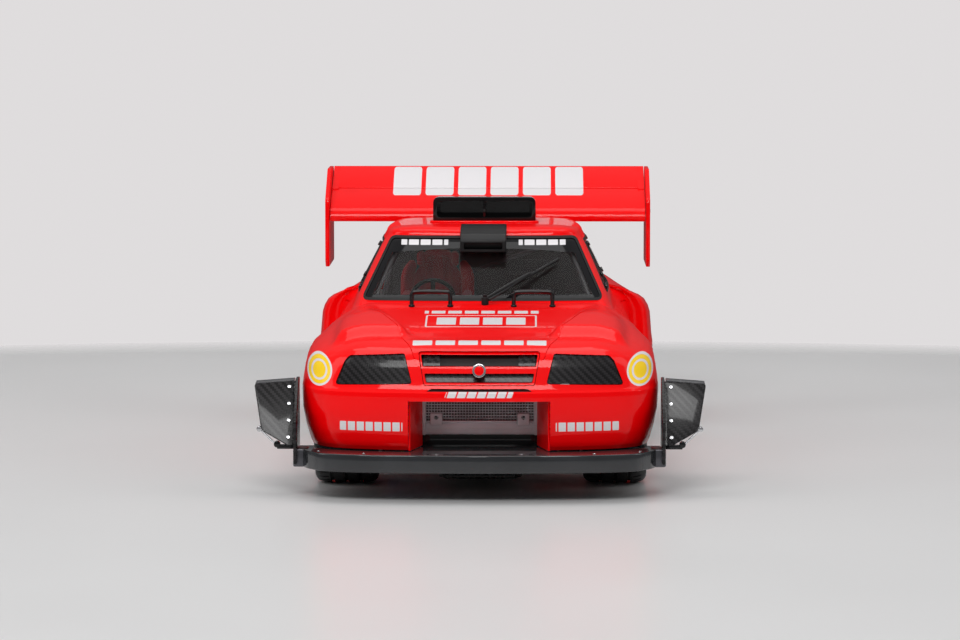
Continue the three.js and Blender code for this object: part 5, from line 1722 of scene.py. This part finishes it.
def buildCockpit():
    c = cockpit
    z0 = c["trayZ"]
    parts = [block("floorTray", (-65.8, -79.8, z0), (65.8, 58, z0 + 2), 0.5, 2)]
    for x in range(-56, 60, 8):
        parts.append(block("rib", (x - 0.6, -40, z0 + 1.6), (x + 0.6, 44, z0 + 2.5), 0.3, 1))
    dash = plate("dash", rounded([(-79.8, z0 + 0.5), (-62, z0 + 0.5), (-62, 88), (-66, 91), (-79.8, 91)],
        (1, 1, 2, 3, 1)), "X", -61.8, 61.8, 0.5, 2)
    parts.append(dash)
    parts.append(block("binnacle", (-42, -78, 90.4), (-14, -63, 95.4), 2.0, 3))
    parts.append(block("tunnel", (-6, -62, z0 + 1.5), (6, 40, z0 + 8), 1.6, 3))
    parts.append(cylinder("brakeLever", (8.5, -22, z0 + 4), (8.5, -38, z0 + 18), 1.1, 16, 0.2))
    dress(join("tray", parts), "body", "black_plastic", darkInside, replaces=("cockpit_tray",))
    wall = plate("bulkhead", rounded(mirroredOutline([(62, z0 + 1), (49, 118)]), 2), "Y", 50, 51.8, 0.3, 2)
    upper = rounded([(13, 98.4), (36, 98.4), (36, 105.6), (13, 105.6)], 3.4, 8)
    lower = rounded([(8, 84), (46, 84), (43, 95), (8, 95)], 2)
    for outline in (upper, lower):
        cut(wall, plate("press", outline, "Y", 48, 50.7, 0))
    ring = plate("pressRim", rounded([(12, 97.4), (37, 97.4), (37, 106.6), (12, 106.6)], 4.2, 8), "Y", 49.4,
        50.2, 0.2, 2)
    cut(ring, plate("hole", rounded([(13.6, 99), (35.4, 99), (35.4, 105), (13.6, 105)], 2.9, 8), "Y", 48,
        52, 0))
    dress(join("bulkhead", [wall, ring]), "body", "black_plastic", bulkheadGrey)
    hoopSide = [(60, z0 + 2), (55, 104), (48, 119), (38, 123)]
    cage = [tube("hoop", [(-x, 44, z) for x, z in hoopSide] + [(x, 44, z) for x, z in reversed(hoopSide)],
        1.6, 12)]
    pillar = [(63, -72, z0 + 3), (60, -66, 96), (47, -28, 121.5), (44, 10, 124), (44, 44, 121)]
    for side in (1, -1):
        cage.append(tube("pillar", [(side * x, y, z) for x, y, z in pillar], 1.4, 12))
        cage.append(tube("doorBar", [(side * 62, -66, 84), (side * 61, 44, 96)], 1.2, 12, False, False))
    cage.append(cylinder("brace", (-52, 44, 84), (46, 44, 119), 1.2, 16, 0))
    dress(join("rollCage", cage), "body", "steel", cageGrey, smooth=50)


cageGrey = mouldedPlastic("cageGrey", (0.16, 0.16, 0.165), 0.35, 500.0, 0.3)
bulkheadGrey = mouldedPlastic("bulkheadGrey", (0.10, 0.10, 0.10), 0.5)
buildCockpit()


def shares(count):
    return [i / count for i in range(count + 1)]


def tapered(t, start, rate):
    # thin at both ends of a pad and full between them
    return min(1.0, start + rate * min(t, 1 - t))


def cushion(name, rows):
    # rows of (centre, across, out, half width, half thickness) along a padded form, each a superellipse
    count = 28
    rings = []
    for centre, across, out, half, thick in rows:
        ring = []
        for i in range(count):
            a = 2 * math.pi * i / count
            cu, su = math.cos(a), math.sin(a)
            u = math.copysign(abs(cu) ** 0.6, cu) * half
            v = math.copysign(abs(su) ** 0.7, su) * thick
            ring.append(tuple(Vector(centre) + Vector(across) * u + Vector(out) * v))
        rings.append(ring)
    piece = loft(name, rings, True, True)
    return modify(piece, "SUBSURF", levels=1, render_levels=1)


def buildSeat():
    x = cockpit["seatX"]
    across = (1, 0, 0)
    back = []
    for t in shares(14):
        z = 82.5 + 31.5 * t
        y = 23.6 + 5.2 * t
        half = 14.6 - 6.4 * smooth(t, 0.45, 0.86)
        edge = tapered(t, 0.35, 6)
        back.append(((x, y, z), across, (0, 1, -0.1), half * (0.8 + 0.2 * edge), 2.6 * edge))
    backPad = cushion("seatBack", back)
    base = []
    for t in shares(10):
        edge = tapered(t, 0.4, 6)
        base.append(((x, -13 + 36 * t, 84.2 - 1.2 * t), across, (0, 0, 1), 13.6 * (0.85 + 0.15 * edge),
            2.5 * edge))
    basePad = cushion("seatBase", base)
    bolsters = []
    for side in (1, -1):
        rows = []
        for t in shares(16):
            z = 82.0 + 26 * t
            y = 18.0 + 7.0 * t - 3.0 * math.sin(math.pi * t)
            edge = tapered(t, 0.3, 5)
            middle = x + side * (17.4 - 2.4 * smooth(t, 0.6, 1))
            rows.append(((middle, y, z), (0.55, -side * 0.8, 0), (side * 0.8, 0.55, 0), 5.4 * edge,
                2.1 * edge))
        bolsters.append(cushion("sideBolster", rows))
        low = []
        for t in shares(12):
            edge = tapered(t, 0.3, 5)
            centre = (x + side * 17.3, -13.5 + 35 * t, 85.8 + 1.6 * t)
            low.append((centre, (1, 0, 0), (0, 0, 1), 2.6 * edge, 4.4 * edge))
        bolsters.append(cushion("lowBolster", low))
        wing = []
        for t in shares(8):
            edge = tapered(t, 0.35, 5)
            centre = (x + side * 9.6, 24.2 + 2.4 * t, 104.5 + 8.6 * t)
            wing.append((centre, (0.5, -side * 0.85, 0), (side * 0.85, 0.5, 0), 3.8 * edge, 1.4 * edge))
        bolsters.append(cushion("headWing", wing))
    seat = join("seatPads", [backPad, basePad, *bolsters])
    dress(seat, "body", "seat_fabric", seatCloth, replaces=("bucket_seat",), smooth=50)
    seams = []
    for side in (1, -1):
        seams.append(tube("seam", [(x + side * 8, 20.4, 88), (x + side * 8.4, 21.6, 100),
            (x + side * 5.6, 23.4, 110)], 0.3, 8))
    seams.append(tube("seam", [(x - 10, 21.0, 95), (x, 20.9, 95.4), (x + 10, 21.0, 95)], 0.3, 8))
    dress(join("seatSeams", seams), "body", "seat_fabric", beltCloth, smooth=60)
    straps = []
    for side in (1, -1):
        path = [(x + side * 3.6, 26.0, 110.5), (x + side * 4.4, 20.4, 106), (x + side * 4.6, 18.6, 97),
            (x + side * 2.0, 14.5, 89.6)]
        line = throughPoints(path, 6)
        strip, faces = [], []
        for k, p in enumerate(line):
            for dx, dy in ((-1.6, 0), (1.6, 0), (1.6, -0.5), (-1.6, -0.5)):
                strip.append((p.x + dx, p.y + dy, p.z - dy * 0.4))
            if k:
                a, b = 4 * (k - 1), 4 * k
                faces += [(a + i, a + (i + 1) % 4, b + (i + 1) % 4, b + i) for i in range(4)]
        last = 4 * (len(line) - 1)
        faces += [(3, 2, 1, 0), (last, last + 1, last + 2, last + 3)]
        straps.append(outward(meshPiece("strap", strip, faces)))
    straps.append(cylinder("buckle", (x, 15.2, 89.2), (x, 13.0, 90.0), 2.2, 24, 0.4))
    dress(join("seatBelts", straps), "body", "seat_fabric", beltCloth, smooth=40)
    rail = block("seatRail", (x - 15, -12, 79.9), (x + 15, 24, 81.6), 0.4, 2)
    dress(rail, "body", "steel", steelDark)


buildSeat()


def buildSteeringWheel():
    c = cockpit
    r = c["wheelRadius"]
    deselect()
    bpy.ops.mesh.primitive_torus_add(major_segments=56, minor_segments=14, major_radius=r * mm,
        minor_radius=1.15 * mm)
    rim = settle(bpy.context.active_object)
    spokes = []
    for i in range(3):
        spoke = block("spoke", (-0.5, 0, -0.45), (0.5, r - 0.4, 0.45), 0.2, 1)
        spoke.scale = (2.6, 1, 1)
        settle(spoke)
        spoke.data.transform(Matrix.Rotation(2 * math.pi * (i + 0.5) / 3, 4, "Z"))
        spokes.append(spoke)
    hub = cylinder("hub", (0, 0, -1.2), (0, 0, 1.0), 2.9, 32, 0.4)
    column = cylinder("column", (0, 0, -11.8), (0, 0, -1), 1.3, 20, 0.2)
    whole = join("steeringWheel", [rim, *spokes, hub, column])
    whole.data.transform(Matrix.Translation(Vector(c["wheelCentre"]) * mm) @ Matrix.Rotation(c["rake"], 4,
        "X"))
    dress(whole, "body", "black_plastic", blackSatin, replaces=("cockpit_wheel",), smooth=50)


buildSteeringWheel()
print("cockpit")


view = {"azimuth": 0.7, "elevation": 5.0, "distance": 2457.0, "targetZ": 75.4, "lens": 161.25,
    "shift": -0.0044}
stage = {"radius": 1.60, "centreY": -0.91, "soft": 0.08, "floor": (0.72, 0.718, 0.718),
    "wall": (0.74, 0.72, 0.725),
         "dim": (0.10, 0.10, 0.105), "roof": (0.40, 0.395, 0.395)}
lights = {
    # place, size, watts
    "topSoftbox": ((0.0, 0.25, 1.6), (1.4, 1.0), 9.5),
    "leftSoftbox": ((-1.7, -0.4, 1.1), (0.9, 1.3), 9.0),
    "rightSoftbox": ((1.7, -0.2, 1.1), (0.9, 1.3), 6.0),
    "frontFill": ((-0.2, -2.2, 1.9), (1.8, 0.8), 42.0),
}


def buildStage():
    deselect()
    bpy.ops.mesh.primitive_circle_add(vertices=128, radius=stage["radius"], fill_type="NGON",
        location=(0, stage["centreY"], 0))
    floor = settle(bpy.context.active_object)
    floor.name = "floor"
    top = Finish("tableTop", stage["floor"], 0.28, Specular_IOR_Level=0.35)
    x, y, z = top.axes()
    away = y - stage["centreY"]
    reach = (x * x + away * away).power(0.5)
    edge = 1.0 - reach.ramp(stage["radius"] - stage["soft"], stage["radius"])
    top.put(Alpha=edge.power(0.8), Roughness=top.noise(7.0, 3.0) * 0.08 + 0.26,
            Base_Color=top.mix(top.noise(3.0, 2.0), stage["floor"],
            tuple(c * 0.985 for c in stage["floor"])))
    floor.data.materials.append(top.material)


def areaLight(name, spot, size, watts, aim=(0, 0, 0.05)):
    data = bpy.data.lights.new(name, "AREA")
    data.shape = "RECTANGLE"
    data.size, data.size_y = size
    data.energy = watts
    lamp = bpy.data.objects.new(name, data)
    bpy.context.scene.collection.objects.link(lamp)
    lamp.location = spot
    lamp.rotation_euler = (Vector(aim) - Vector(spot)).to_track_quat("-Z", "Y").to_euler()


def buildLight():
    world = bpy.data.worlds.new("room")
    bpy.context.scene.world = world
    world.use_nodes = True
    nodes, links = world.node_tree.nodes, world.node_tree.links
    background = nodes["Background"]
    # what the camera sees directly is the pale wall; reflections get a room that is dimmer low down
    path, seen = nodes.new("ShaderNodeLightPath"), nodes.new("ShaderNodeMix")
    seen.data_type = "RGBA"
    links.new(path.outputs["Is Camera Ray"], seen.inputs[0])
    place, parts = nodes.new("ShaderNodeTexCoord"), nodes.new("ShaderNodeSeparateXYZ")
    rise = nodes.new("ShaderNodeValToRGB")
    links.new(place.outputs["Generated"], parts.inputs[0])
    links.new(parts.outputs["Z"], rise.inputs[0])
    for stop, at, colour in zip(rise.color_ramp.elements, (0.05, 0.75), (stage["dim"], stage["roof"])):
        stop.position = at
        stop.color = (*colour, 1)
    links.new(rise.outputs["Color"], seen.inputs[6])
    seen.inputs[7].default_value = (*stage["wall"], 1)
    links.new(seen.outputs[2], background.inputs["Color"])
    background.inputs["Strength"].default_value = 1.0
    for name, (spot, size, watts) in lights.items():
        areaLight(name, spot, size, watts)


def buildCamera():
    data = bpy.data.cameras.new("camera")
    data.lens = view["lens"]
    data.sensor_width = 36
    data.shift_x = view["shift"]
    data.clip_end = 50
    camera = bpy.data.objects.new("camera", data)
    bpy.context.scene.collection.objects.link(camera)
    around, up = math.radians(view["azimuth"]), math.radians(view["elevation"])
    target = Vector((0, 0, view["targetZ"])) * mm
    out = Vector((math.sin(around) * math.cos(up), -math.cos(around) * math.cos(up), math.sin(up)))
    camera.location = target + out * view["distance"] * mm
    camera.rotation_euler = (-out).to_track_quat("-Z", "Y").to_euler()
    bpy.context.scene.camera = camera


buildStage()
buildLight()
buildCamera()
